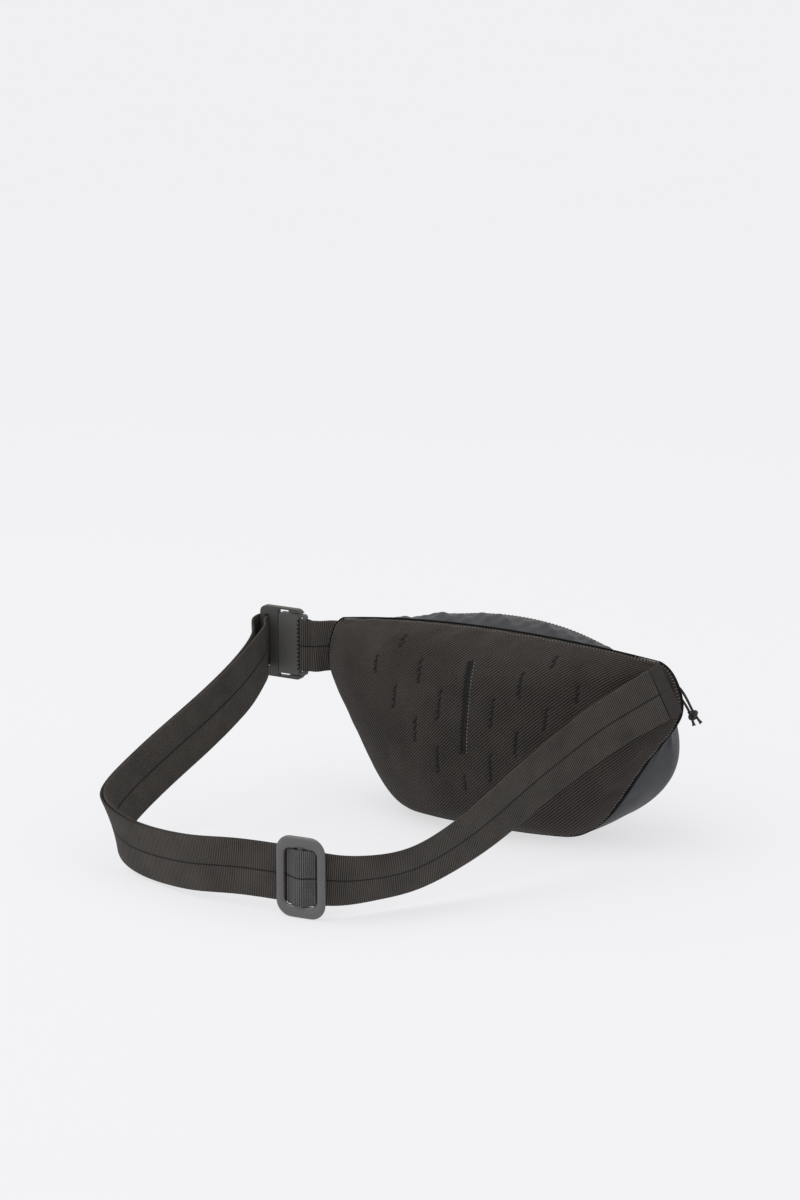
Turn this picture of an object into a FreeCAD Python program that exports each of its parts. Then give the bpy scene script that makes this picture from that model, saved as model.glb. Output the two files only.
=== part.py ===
import FreeCAD, Part
import math
import os

# Waist bag lying on its base, with its belt looped on the wearer's side.
# Millimetres. X runs along the bag, Y points away from the wearer, Z is up.
# The origin is the centre of the flat patch that the bag rests on.

V = FreeCAD.Vector

# ---------------------------------------------------------------- dimensions
WEB_WIDTH = 38.0
WEB_THICK = 1.7
LAYER_GAP = 0.9

DOME_DEPTH = 43.0
PANEL_FABRIC = (0.0, 1.6)
PANEL_FOAM = (2.0, 6.5)
PANEL_LINING = (7.0, 7.6)
SHELL_FABRIC = (0.0, 1.2)
SHELL_LINING = (2.2, 2.8)
SEAM_GAP = 0.02
BINDING_DEPTH = 7.0
BINDING_WIDTH = 6.0
BINDING_THICK = 0.8
TOP_CROWN = 3.0
SIDE_SWELL = 0.55
SWELL_START = 0.40

ZIP_RADIUS = 228.6
ZIP_HALF_ANGLE = 33.0
ZIP_CENTRE = V(0, -111.1, -44.3)
ZIP_AXIS = V(0, -0.806, 0.592)
ZIP_UP = V(0, 0.592, 0.806)
BAND_HALF = 12.5
TAPE_EDGE = 12.0
TAPE_INNER = 2.4
TAPE_HALF_THICK = 0.4
COIL_OUTER = 2.2
COIL_INNER = 0.6
COIL_HALF_THICK = 1.1
COIL_HALF_ANGLE = 32.6
SLIDER_ANGLE = 31.0
SLIDER_HALF_ANGLE = 1.3
SLIDER_HALF_WIDTH = 3.6
SLIDER_TOP = (1.4, 3.0)
SLIDER_BOTTOM = (-3.2, -1.4)
BRIDGE_HALF_ANGLE = 0.95
BRIDGE_INNER_ANGLE = 0.6
BRIDGE_TOP = 6.6
BRIDGE_UNDER = 5.3
BRIDGE_HALF_WIDTH = 1.5
PULL_HALF_WIDTH = 3.6
PULL_WIRE_RADIUS = 0.7
PULL_PIVOT_LIFT = 4.1
PULL_REACH = 11.0
PULL_REST_LIFT = 18.0

ADJUSTER_CENTRE = V(-12.6, -252.1, 28.0)
ADJUSTER_TRAVEL = V(-1.0, -0.08, 0.0)
ADJUSTER_WIDTH = 36.0
ADJUSTER_HEIGHT = 56.0
ADJUSTER_OPENING = (24.0, 39.0)
ADJUSTER_CORNERS = (11.0, 4.0)
ADJUSTER_THICK = 3.2
ADJUSTER_BAR = 4.5
ADJUSTER_CLEARANCE = 1.0

BUCKLE_CENTRE = V(-172.0, -7.0, 110.0)
BUCKLE_PIN_X = 4.0
PIN_RADIUS = 1.5
SOCKET_CLEARANCE = 0.1
HOOK_THICK = 4.6
PLATE_THICK = 5.0
PLATE_HALF_HEIGHT = 22.8
PLATE_LEFT = -10.0
PLATE_RIGHT = 12.6
PLATE_SLOT = (7.0, 10.2)
PLATE_SLOT_HALF = 21.0
PLATE_THIN_HALF = 2.0
HOOK_LEFT = -26.0
HOOK_RIGHT = 10.0
HOOK_HALF_HEIGHT = 26.4
HOOK_SLOT = (-21.8, -18.2)
HOOK_SLOT_HALF = 20.0
HOOK_OPENING_X = -10.8
HOOK_OPENING_HALF = 23.6
ARM_THIN_HALF = 25.0
ARM_THIN_END = -1.5
HOOK_MAGNET = (-15.3, -12.0)
PLATE_MAGNET = (-9.2, -5.9)
MAGNET_GAP = 0.05
THROUGH = 9.0

CORD_DIAMETER = 1.8

# Seam between back panel and shell, right half: parameter, point.
SEAM_POINTS = [
    (0.00, (0, -23, 2.0)),
    (0.17, (30, -22.5, 2.0)),
    (0.33, (55, -20, 2.6)),
    (0.45, (72, -17, 5.5)),
    (0.53, (84, -14.5, 13.5)),
    (0.64, (98, -12, 31)),
    (0.82, (120, -9, 65)),
    (0.94, (136, -5.5, 88)),
    (1.00, (141, -4.5, 98)),
    (1.13, (139, -5.5, 119)),
    (1.30, (127, -9, 135)),
]
SEAM_CORNER = 0.45
SEAM_END = 1.30

# Shell section from seam to zipper band: parameter, share of chord, share outward.
SHELL_PROFILE = [
    (0.00, (0.000, 0.000, 0)),
    (0.13, (0.050, 0.153, 0)),
    (0.20, (0.0800, 0.222, 0)),
    (0.27, (0.108, 0.281, 0)),
    (0.45, (0.330, 0.330, 0)),
    (0.66, (0.620, 0.275, 0)),
    (0.84, (0.850, 0.155, 0)),
    (1.00, (1.000, 0.000, 0)),
]

# Belt route from the right end of the bag round to the hook:
# centre of the webbing, then the direction of its width.
BELT_ROUTE = [
    ((131.7, -21.6, 115.8), (-0.40, -0.18, 0.90)),
    ((121.5, -38.5, 108.4), (-0.32, -0.28, 0.90)),
    ((106, -61, 96), (-0.27, -0.33, 0.91)),
    ((93, -81, 82.5), (-0.22, -0.35, 0.91)),
    ((83, -104, 70.5), (-0.17, -0.37, 0.92)),
    ((75, -128, 59), (-0.13, -0.37, 0.92)),
    ((67, -154, 47.5), (-0.05, -0.39, 0.92)),
    ((56, -180, 36.5), (0.04, -0.43, 0.90)),
    ((43, -204, 28.5), (0.09, -0.46, 0.88)),
    ((27, -227, 26), (0.08, -0.42, 0.90)),
    ((7, -246, 26.5), (0.02, -0.18, 0.98)),
    ((-13, -252.1, 28), (0, 0, 1)),
    ((-38, -254.1, 28), (0, 0, 1)),
    ((-63, -256.0, 27.5), (0, 0, 1)),
    ((-92, -255.5, 24.5), (0, -0.02, 1)),
    ((-119, -249, 21.5), (-0.01, -0.05, 0.99)),
    ((-145, -242, 20.8), (-0.05, -0.09, 0.98)),
    ((-164, -236, 23), (-0.11, -0.13, 0.97)),
    ((-178, -229, 28), (-0.19, -0.17, 0.96)),
    ((-187, -219, 33), (-0.26, -0.23, 0.94)),
    ((-190.5, -205, 38.5), (-0.29, -0.28, 0.91)),
    ((-190, -182, 47.5), (-0.29, -0.31, 0.905)),
    ((-187, -156, 58), (-0.29, -0.31, 0.905)),
    ((-183.5, -130, 68), (-0.28, -0.31, 0.91)),
    ((-179.5, -104, 79), (-0.24, -0.31, 0.925)),
    ((-178, -77, 89.5), (-0.19, -0.29, 0.935)),
    ((-181, -51, 98.5), (-0.11, -0.22, 0.97)),
    ((-190.5, -29, 105.5), (-0.03, -0.08, 0.99)),
    ((-198.8, -17, 109.2), (0, 0, 1)),
    ((-200, -8.4, 110), (0, 0, 1)),
]
ANCHOR_END = [
    ((132.2, -20.8, 116.2), (-0.40, -0.18, 0.90)),
    ((134.6, -17.0, 117.9), (-0.42, -0.17, 0.89)),
    ((136.8, -13.2, 119.5), (-0.43, -0.16, 0.89)),
]
ANCHOR_FOLD = 0.5
RETURN_FIRST = 12
RETURN_LAST = 26
RETURN_END = [
    ((-181.0, -37, 102.5), (-0.07, -0.14, 0.99)),
    ((-186.8, -20, 107.5), (-0.02, -0.04, 1)),
    ((-190.8, -13.5, 109.4), (0, 0, 1)),
    ((-191.8, -8.4, 110), (0, 0, 1)),
]

# Pull cord from tail to tail; it folds round the bar at the puller's end.
CORD_ROUTE = [
    (148.4, 11.6, 90.4),
    (144.2, 9.3, 96.6),
    (138.6, 8.8, 107.2),
    (133.6, 7.8, 114.6),
    (129.0, 6.7, 116.3),
    (128.1, 4.4, 113.2),
    (132.6, 4.6, 111.6),
    (137.6, 6.8, 104.8),
    (142.9, 8.1, 95.6),
    (145.4, 7.0, 89.2),
]


# ------------------------------------------------------------------- helpers
def curve_through(table):
    """Smooth curve through (parameter, point) pairs."""
    curve = Part.BSplineCurve()
    curve.interpolate(Points=[V(*p) for _, p in table],
                      Parameters=[t for t, _ in table])
    return curve


def unit(vector):
    return V(vector) * (1.0 / vector.Length)


def mix(a, b, t):
    return a * (1.0 - t) + b * t


def crown(x, power):
    """Rounded profile: one in the middle, zero at both ends."""
    return max(0.0, 1.0 - abs(x) ** power) ** 0.6


def spaced(count):
    """Values from -1 to 1, closer together near the ends."""
    return [math.sin(math.pi / 2 * (2.0 * i / (count - 1) - 1)) for i in range(count)]


def core_point(p):
    """Nearest point of the line that the bag's walls are thickened towards."""
    return V(max(-90.0, min(90.0, p.x)), -5.0, 78.0)


def inward(p, depth):
    return p + unit(core_point(p) - p) * depth


def sewn_solid(faces, name):
    shell = Part.makeShell(faces)
    shell.sewShape()
    solid = Part.Solid(shell)
    if solid.Volume < 0:
        solid.reverse()
    if not solid.isValid():
        print("INVALID", name)
    return solid


def slab(grid, near, far, name):
    """Closed wall between two depths behind a grid of surface points."""
    sides = []
    for depth in (near, far):
        surface = Part.BSplineSurface()
        surface.interpolate([[inward(p, depth) for p in row] for row in grid])
        sides.append(surface)
    u0, u1, v0, v1 = sides[0].bounds()
    faces = [surface.toShape() for surface in sides]
    for u in (u0, u1):
        faces.append(Part.makeRuledSurface(sides[0].uIso(u).toShape(),
                                           sides[1].uIso(u).toShape()))
    for v in (v0, v1):
        faces.append(Part.makeRuledSurface(sides[0].vIso(v).toShape(),
                                           sides[1].vIso(v).toShape()))
    return sewn_solid(faces, name)


def resample(route, step):
    """Catmull-Rom samples (centre, width direction, tangent) along a route."""
    centres = [V(*c) for c, _ in route]
    widths = [unit(V(*w)) for _, w in route]
    length = 0.0
    table_c = []
    table_w = []
    for i, c in enumerate(centres):
        if i:
            length += (c - centres[i - 1]).Length
        table_c.append((length, tuple(c)))
        table_w.append((length, tuple(c + widths[i] * WEB_WIDTH)))
    path = curve_through(table_c)
    edge = curve_through(table_w)
    count = max(3, int(round(length / step)) + 1)
    samples = []
    for i in range(count):
        s = length * i / (count - 1)
        tangent = unit(path.tangent(s)[0])
        centre = path.value(s)
        width = edge.value(s) - centre
        width = unit(width - tangent * width.dot(tangent))
        samples.append((centre, width, tangent))
    return samples


def ribbon(route, low, high, name, step=6.0, half_width=WEB_WIDTH / 2):
    """Flat band; low and high are offsets towards the outer face."""
    rails = {}
    samples = resample(route, step)
    for level in (low, high):
        for side in (-1, 1):
            points = []
            for centre, width, tangent in samples:
                normal = unit(width.cross(tangent))
                points.append(centre + width * (half_width * side) + normal * level)
            rail = Part.BSplineCurve()
            rail.interpolate(points)
            rails[(level, side)] = (rail.toShape(), points)
    order = [(low, -1), (low, 1), (high, 1), (high, -1)]
    faces = []
    for i, key in enumerate(order):
        other = order[(i + 1) % 4]
        faces.append(Part.makeRuledSurface(rails[key][0], rails[other][0]))
    for end in (0, -1):
        corners = [rails[key][1][end] for key in order]
        faces.append(Part.Face(Part.makePolygon(corners + corners[:1])))
    return sewn_solid(faces, name)


def zip_frame(angle):
    """Outward and forward directions of the zipper arc at an angle."""
    a = math.radians(angle)
    across = V(math.sin(a), 0, 0) + ZIP_UP * math.cos(a)
    along = V(math.cos(a), 0, 0) - ZIP_UP * math.sin(a)
    return across, along


def zip_point(angle, lift=0.0, offset=0.0):
    across, _ = zip_frame(angle)
    return ZIP_CENTRE + across * (ZIP_RADIUS + lift) + ZIP_AXIS * offset


def arc_block(angle_high, angle_low, lift_low, lift_high, offset_low, offset_high):
    """Block that follows the zipper arc between two angles."""
    corners = [zip_point(angle_high, lift_low, offset_low),
               zip_point(angle_high, lift_high, offset_low),
               zip_point(angle_high, lift_high, offset_high),
               zip_point(angle_high, lift_low, offset_high)]
    face = Part.Face(Part.makePolygon(corners + corners[:1]))
    return face.revolve(ZIP_CENTRE, ZIP_AXIS, angle_high - angle_low)


def rounded_prism(width, height, radius, thick, placement):
    """Rounded rectangle in local X and Z, extruded along local Y."""
    box = Part.makeBox(width, thick, height, V(-width / 2, 0, -height / 2))
    upright = [e for e in box.Edges
               if abs(abs(e.tangentAt(e.FirstParameter).y) - 1) < 1e-6]
    box = box.makeFillet(radius, upright)
    box.Placement = placement
    return box


def block(x0, x1, y0, y1, z0, z1, origin=V(0, 0, 0)):
    return Part.makeBox(x1 - x0, y1 - y0, z1 - z0, origin + V(x0, y0, z0))


# ------------------------------------------------------------------ bag body
SEAM = curve_through(SEAM_POINTS)
PROFILE = curve_through(SHELL_PROFILE)


def seam(parameter, sign):
    p = SEAM.value(min(SEAM_END, abs(parameter)))
    return V(p.x * sign, p.y, p.z)


def sign_of(u):
    return -1.0 if u < 0 else 1.0


def top_seam(u):
    end = SEAM.value(SEAM_END)
    return V(end.x * u, mix(-23.0, end.y, u * u), mix(147.0, end.z, u * u))


def panel_point(u, v):
    """Back panel: u from left to right, v from the bottom to the top seam."""
    a = (u + 1) / 2
    bottom = seam(SEAM_CORNER * abs(u), sign_of(u))
    top = top_seam(u)
    right = seam(mix(SEAM_CORNER, SEAM_END, v), 1)
    left = seam(mix(SEAM_CORNER, SEAM_END, v), -1)
    corner_low = SEAM.value(SEAM_CORNER)
    corner_high = SEAM.value(SEAM_END)
    low = mix(V(-corner_low.x, corner_low.y, corner_low.z), corner_low, a)
    high = mix(V(-corner_high.x, corner_high.y, corner_high.z), corner_high, a)
    flat = mix(bottom, top, v) + mix(left, right, a) - mix(low, high, v)
    return flat - V(0, DOME_DEPTH * crown(u, 2.4) * crown(2 * v - 1, 2.0), 0)


def panel_grid(trim, columns=25, rows=19):
    grid = []
    for u in spaced(columns):
        grid.append([panel_point(u * (1 - trim), 0.5 + v / 2 * (1 - trim))
                     for v in spaced(rows)])
    return grid


def band_edge(u, offset):
    return zip_point(ZIP_HALF_ANGLE * u, 0.0, offset)


def shell_point(u, w):
    """Shell: u from left to right, w from the seam to the zipper band."""
    start = seam(abs(u), sign_of(u))
    end = band_edge(u, -BAND_HALF)
    chord = end - start
    share = abs(u) ** 2.6
    side = abs(u) ** 1.6
    section = PROFILE.value(w)
    along = mix(section.x, w, share)
    out = mix(V(0, 0.916, -0.401), V(sign_of(u), 0.42, 0.05), side)
    out = unit(out - chord * (out.dot(chord) / chord.dot(chord)))
    reach = max(0.0, abs(u) - SWELL_START) / (1.0 - SWELL_START)
    swell = SIDE_SWELL * math.sin(math.pi * reach) ** 2
    bulge = section.y * chord.Length * (mix(1.0, 0.45, share) + swell)
    return start + chord * along + out * bulge


def shell_grid(trim, columns=33, rows=29):
    grid = []
    for i in range(columns):
        u = (2.0 * i / (columns - 1) - 1) * (1 - trim)
        grid.append([shell_point(u, mix(trim + SEAM_GAP, 1 - trim, j / (rows - 1.0)))
                     for j in range(rows)])
    return grid


def top_point(u, w):
    """Top panel: w from the top seam to the back edge of the zipper band."""
    p = mix(top_seam(u), band_edge(u, BAND_HALF), w)
    return p + V(0, 0, TOP_CROWN * math.sin(math.pi * w) * (1 - u * u))


def top_grid(trim):
    return [[top_point(u * (1 - trim), mix(trim + SEAM_GAP, 1 - trim, w / 6.0))
             for w in range(7)] for u in [i / 8.0 - 1 for i in range(17)]]


def tab_point(side, a, b):
    """End tab: a from the seam to the zipper band, b from low to high."""
    outer = seam(mix(1.0, SEAM_END, b), side)
    inner = mix(band_edge(side, -BAND_HALF), band_edge(side, BAND_HALF), b)
    return mix(outer, inner, a) + V(side * 2.0 * math.sin(math.pi * a), 0, 0)


def tab_grid(side):
    return [[tab_point(side, mix(0.06, 0.88, i / 6.0), mix(0.03, 0.97, j / 6.0))
             for j in range(7)] for i in range(7)]


def make_bag():
    under = block(-70, 70, -16, 34, -6, 0)
    parts = {
        "back_panel_fabric": slab(panel_grid(0.0), *PANEL_FABRIC, "back_panel_fabric"),
        "back_panel_foam": slab(panel_grid(0.1), *PANEL_FOAM, "back_panel_foam"),
        "back_panel_lining": slab(panel_grid(0.1), *PANEL_LINING, "back_panel_lining"),
        "front_shell": slab(shell_grid(0.0), *SHELL_FABRIC, "front_shell").cut(under),
        "front_shell_lining": slab(shell_grid(0.03), *SHELL_LINING, "front_shell_lining"),
        "top_panel": slab(top_grid(0.0), *SHELL_FABRIC, "top_panel"),
        "top_panel_lining": slab(top_grid(0.05), *SHELL_LINING, "top_panel_lining"),
        "end_tab_right": slab(tab_grid(1), *SHELL_FABRIC, "end_tab_right"),
        "end_tab_left": slab(tab_grid(-1), *SHELL_FABRIC, "end_tab_left"),
    }
    binding = []
    for i in range(25):
        t = i / 12.0 - 1
        p = seam(0.98 * abs(t), sign_of(t))
        q = inward(p, BINDING_DEPTH)
        binding.append((tuple(q), tuple(unit(q - p))))
    parts["seam_binding"] = ribbon(binding, -BINDING_THICK / 2, BINDING_THICK / 2,
                                   "seam_binding", 10.0, BINDING_WIDTH / 2)
    return parts


# -------------------------------------------------------------------- zipper
def make_zipper():
    full = ZIP_HALF_ANGLE + 0.2
    parts = {}
    for name, side in (("front", -1), ("back", 1)):
        tape = sorted((side * TAPE_INNER, side * TAPE_EDGE))
        coil = sorted((side * COIL_INNER, side * COIL_OUTER))
        parts["zipper_tape_" + name] = arc_block(
            full, -full, -TAPE_HALF_THICK, TAPE_HALF_THICK, *tape)
        parts["zipper_coil_" + name] = arc_block(
            COIL_HALF_ANGLE, -COIL_HALF_ANGLE, -COIL_HALF_THICK, COIL_HALF_THICK, *coil)
    stops = [arc_block(a + 0.2, a - 0.2, -1.3, 1.3, -COIL_OUTER, COIL_OUTER)
             for a in (ZIP_HALF_ANGLE, -ZIP_HALF_ANGLE)]
    parts["zipper_end_stops"] = Part.makeCompound(stops)
    return parts


def make_slider():
    high = SLIDER_ANGLE + SLIDER_HALF_ANGLE
    low = SLIDER_ANGLE - SLIDER_HALF_ANGLE
    wide = SLIDER_HALF_WIDTH
    body = arc_block(high, low, *SLIDER_TOP, -wide, wide)
    body = body.fuse(arc_block(high, low, *SLIDER_BOTTOM, -wide, wide))
    body = body.fuse(arc_block(high - 0.2, low + 0.2, -1.5, 1.5, -0.4, 0.4))
    for inner, outer in ((BRIDGE_INNER_ANGLE, BRIDGE_HALF_ANGLE),
                         (-BRIDGE_HALF_ANGLE, -BRIDGE_INNER_ANGLE)):
        body = body.fuse(arc_block(SLIDER_ANGLE + outer, SLIDER_ANGLE + inner,
                                   SLIDER_TOP[1] - 0.1, BRIDGE_TOP,
                                   -BRIDGE_HALF_WIDTH, BRIDGE_HALF_WIDTH))
    body = body.fuse(arc_block(SLIDER_ANGLE + BRIDGE_HALF_ANGLE,
                               SLIDER_ANGLE - BRIDGE_HALF_ANGLE,
                               BRIDGE_UNDER, BRIDGE_TOP,
                               -BRIDGE_HALF_WIDTH, BRIDGE_HALF_WIDTH))
    return body.removeSplitter()


def make_puller():
    across, along = zip_frame(SLIDER_ANGLE)
    lift = math.radians(PULL_REST_LIFT)
    along = along * math.cos(lift) + across * math.sin(lift)
    pivot = zip_point(SLIDER_ANGLE, PULL_PIVOT_LIFT)
    far = pivot + along * PULL_REACH
    reach = PULL_HALF_WIDTH
    radius = PULL_WIRE_RADIUS
    loop = Part.makeCylinder(radius, 2 * reach, pivot - ZIP_AXIS * reach, ZIP_AXIS)
    end_bar = Part.makeCylinder(radius, 2 * reach, far - ZIP_AXIS * reach, ZIP_AXIS)
    loop = loop.fuse(end_bar)
    for side in (-1, 1):
        start = pivot + ZIP_AXIS * (side * (reach - radius))
        loop = loop.fuse(Part.makeCylinder(radius, PULL_REACH, start, along))
        for centre in (pivot, far):
            ball = Part.makeSphere(radius, centre + ZIP_AXIS * (side * (reach - radius)))
            loop = loop.fuse(ball)
    return loop.removeSplitter()


def cord_tube(points, diameter):
    """Tube of straight runs joined by tangent arcs."""
    pts = [V(*p) for p in points]
    edges = []
    radii = []
    start = pts[0]
    for i in range(1, len(pts) - 1):
        back = pts[i - 1] - pts[i]
        ahead = pts[i + 1] - pts[i]
        trim = 0.45 * min(back.Length, ahead.Length)
        half_turn = (math.pi - back.getAngle(ahead)) / 2
        radii.append(round(trim / math.tan(half_turn), 1))
        enter = pts[i] + unit(back) * trim
        leave = pts[i] + unit(ahead) * trim
        middle_way = unit(unit(back) + unit(ahead))
        radius = trim / math.tan(half_turn)
        middle = pts[i] + middle_way * (radius / math.cos(half_turn) - radius)
        edges.append(Part.LineSegment(start, enter).toShape())
        edges.append(Part.Arc(enter, middle, leave).toShape())
        start = leave
    edges.append(Part.LineSegment(start, pts[-1]).toShape())
    wire = Part.Wire(edges)
    profile = Part.Wire(Part.makeCircle(diameter / 2, pts[0], pts[1] - pts[0]))
    tube = wire.makePipeShell([profile], True, True)
    share = tube.Volume / (math.pi * diameter ** 2 / 4 * wire.Length)
    print("cord radii", radii, "length", round(wire.Length, 1), "volume share",
          round(share, 3))
    return tube


def make_knot():
    """Overhand knot where both strands meet, as one rounded lump."""
    centre = V(143.6, 8.7, 96.0)
    lump = Part.makeSphere(3.4)
    squeeze = FreeCAD.Matrix()
    squeeze.scale(1.0, 0.85, 0.9)
    lump = lump.transformGeometry(squeeze)
    lump.translate(centre)
    return lump


# -------------------------------------------------------------------- belt
def layer(index):
    """Offsets of webbing layers: 0 is the outer one, 1 lies inside it."""
    high = WEB_THICK / 2 - index * (WEB_THICK + LAYER_GAP)
    return high - WEB_THICK, high


def hook_turn():
    """Webbing round the back of the hook's outer bar, as route stations."""
    centre = BUCKLE_CENTRE + V(-23.9, 0, 0)
    radius = 4.1
    stations = []
    for i in range(9):
        a = math.pi - math.pi * i / 8
        p = centre + V(math.cos(a) * radius, math.sin(a) * radius, 0)
        stations.append((tuple(p), (0, 0, 1)))
    return stations


def make_belt():
    parts = {"webbing_main": ribbon(BELT_ROUTE, *layer(0), "webbing_main")}
    inner = []
    shift = (layer(1)[0] + layer(1)[1]) / 2
    samples = resample(BELT_ROUTE[RETURN_FIRST:RETURN_LAST], 12.0)
    for centre, width, tangent in samples:
        normal = unit(width.cross(tangent))
        inner.append((tuple(centre + normal * shift), tuple(width)))
    inner += RETURN_END
    half = WEB_THICK / 2
    parts["webbing_return"] = ribbon(inner, -half, half, "webbing_return")
    parts["webbing_hook_turn"] = ribbon(hook_turn(), -half, half, "webbing_hook_turn", 2.0)
    parts["webbing_anchor_end"] = ribbon(ANCHOR_END, -half, half + ANCHOR_FOLD,
                                         "webbing_anchor_end", 2.0)
    return parts


def adjuster_place():
    """Placement with local X along the belt and local Y away from the bag."""
    along = unit(ADJUSTER_TRAVEL)
    outward = unit(V(0, 0, 1).cross(along))
    matrix = FreeCAD.Matrix(along.x, outward.x, 0, ADJUSTER_CENTRE.x,
                            along.y, outward.y, 0, ADJUSTER_CENTRE.y,
                            0, 0, 1, ADJUSTER_CENTRE.z,
                            0, 0, 0, 1)
    return FreeCAD.Placement(matrix)


def make_adjuster():
    place = adjuster_place()
    base = WEB_THICK / 2 + ADJUSTER_CLEARANCE
    flat = FreeCAD.Placement(V(0, base, 0), FreeCAD.Rotation())
    opening_width, opening_height = ADJUSTER_OPENING
    outer_corner, inner_corner = ADJUSTER_CORNERS
    ring = rounded_prism(ADJUSTER_WIDTH, ADJUSTER_HEIGHT, outer_corner, ADJUSTER_THICK, flat)
    deep = FreeCAD.Placement(V(0, base - 1, 0), FreeCAD.Rotation())
    ring = ring.cut(rounded_prism(opening_width, opening_height, inner_corner,
                                  ADJUSTER_THICK + 2, deep))
    bar = block(-ADJUSTER_BAR / 2, ADJUSTER_BAR / 2, base + 0.4, base + 2.6,
                -opening_height / 2 - 2, opening_height / 2 + 2)
    ring = ring.fuse(bar).removeSplitter()
    ring.Placement = place
    hump = []
    for i in range(13):
        s = -9.0 + 18.0 * i / 12
        lift = 3.0 + 3.0 * math.cos(math.pi * s / 20) ** 2
        hump.append((tuple(place.multVec(V(s, lift, 0))), (0, 0, 1)))
    return {"adjuster_frame": ring,
            "adjuster_webbing": ribbon(hump, -WEB_THICK / 2, WEB_THICK / 2,
                                       "adjuster_webbing", 1.6)}


# ------------------------------------------------------------------- buckle
def magnet_block(x0, x1, thick, grow=0.0):
    """Magnet flush with the outer face, or its pocket when grown."""
    back = thick / 2 + (1.0 if grow else 0.0)
    return block(x0 - grow, x1 + grow, -1.2 - grow, back, -8 - grow, 8 + grow,
                 BUCKLE_CENTRE)


def make_buckle():
    half = HOOK_THICK / 2
    middle = (HOOK_LEFT + HOOK_RIGHT) / 2
    hook = rounded_prism(HOOK_RIGHT - HOOK_LEFT, 2 * HOOK_HALF_HEIGHT, 5.0, HOOK_THICK,
                         FreeCAD.Placement(BUCKLE_CENTRE + V(middle, -half, 0),
                                           FreeCAD.Rotation()))
    for x0, x1, reach in ((HOOK_OPENING_X, HOOK_RIGHT + 10, HOOK_OPENING_HALF),
                          (HOOK_OPENING_X, ARM_THIN_END, ARM_THIN_HALF),
                          (*HOOK_SLOT, HOOK_SLOT_HALF)):
        hook = hook.cut(block(x0, x1, -THROUGH, THROUGH, -reach, reach, BUCKLE_CENTRE))
    for side in (-1, 1):
        pin = Part.makeCylinder(PIN_RADIUS, 2.6,
                                BUCKLE_CENTRE + V(BUCKLE_PIN_X, 0, side * 24.0),
                                V(0, 0, -side))
        hook = hook.fuse(pin)
    hook = hook.cut(magnet_block(*HOOK_MAGNET, HOOK_THICK, MAGNET_GAP)).removeSplitter()

    half = PLATE_THICK / 2
    middle = (PLATE_LEFT + PLATE_RIGHT) / 2
    plate = rounded_prism(PLATE_RIGHT - PLATE_LEFT, 2 * PLATE_HALF_HEIGHT, 2.0, PLATE_THICK,
                          FreeCAD.Placement(BUCKLE_CENTRE + V(middle, -half, 0),
                                            FreeCAD.Rotation()))
    plate = plate.cut(block(*PLATE_SLOT, -THROUGH, THROUGH, -PLATE_SLOT_HALF,
                            PLATE_SLOT_HALF, BUCKLE_CENTRE))
    for side in (-1, 1):
        y0, y1 = sorted((side * PLATE_THIN_HALF, side * (half + 1)))
        plate = plate.cut(block(PLATE_SLOT[0], 20, y0, y1, -30, 30, BUCKLE_CENTRE))
        socket = Part.makeCylinder(PIN_RADIUS + SOCKET_CLEARANCE, 3.4,
                                   BUCKLE_CENTRE + V(BUCKLE_PIN_X, 0, side * 24.4),
                                   V(0, 0, -side))
        plate = plate.cut(socket)
    plate = plate.cut(magnet_block(*PLATE_MAGNET, PLATE_THICK, MAGNET_GAP))
    plate = plate.removeSplitter()

    leg = [(16.0, 1.0), (14.6, 1.85), (13.1, 2.8)]
    turn = [(11.2 + 3.2 * math.cos(math.radians(a)), 3.2 * math.sin(math.radians(a)))
            for a in range(90, 271, 30)]
    back = [(x, -y) for x, y in reversed(leg)]
    loop = [(tuple(BUCKLE_CENTRE + V(x, y, 0)), (0, 0, 1)) for x, y in leg + turn + back]
    half_web = WEB_THICK / 2
    short = [((-153.8, -7, 110), (0, 0, 1)),
             ((-151.4, -6.7, 110), (0, 0, 1)),
             ((-148.5, -5, 110.4), (0.06, -0.02, 1)),
             ((-145.2, -2.5, 111), (0.10, -0.04, 0.99))]
    return {
        "hook_frame": hook,
        "hook_magnet": magnet_block(*HOOK_MAGNET, HOOK_THICK),
        "buckle_plate": plate,
        "plate_magnet": magnet_block(*PLATE_MAGNET, PLATE_THICK),
        "short_webbing_loop": ribbon(loop, -half_web, half_web, "short_webbing_loop", 1.2),
        "short_webbing": ribbon(short, -WEB_THICK, WEB_THICK, "short_webbing", 3.0),
    }


# -------------------------------------------------------------------- output
def main():
    parts = make_bag()
    parts.update(make_zipper())
    parts["slider_body"] = make_slider()
    parts["puller_loop"] = make_puller()
    parts["pull_cord"] = cord_tube(CORD_ROUTE, CORD_DIAMETER)
    parts["pull_cord_knot"] = make_knot()
    parts.update(make_belt())
    parts.update(make_adjuster())
    parts.update(make_buckle())
    os.makedirs("parts", exist_ok=True)
    for name, shape in parts.items():
        shape.exportStep("parts/" + name + ".step")
        state = "ok" if shape.isValid() and shape.Volume > 0 else "BAD"
        print(name, state, len(shape.Solids), round(shape.Volume))


main()
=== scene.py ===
import math
from contextlib import contextmanager

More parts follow.
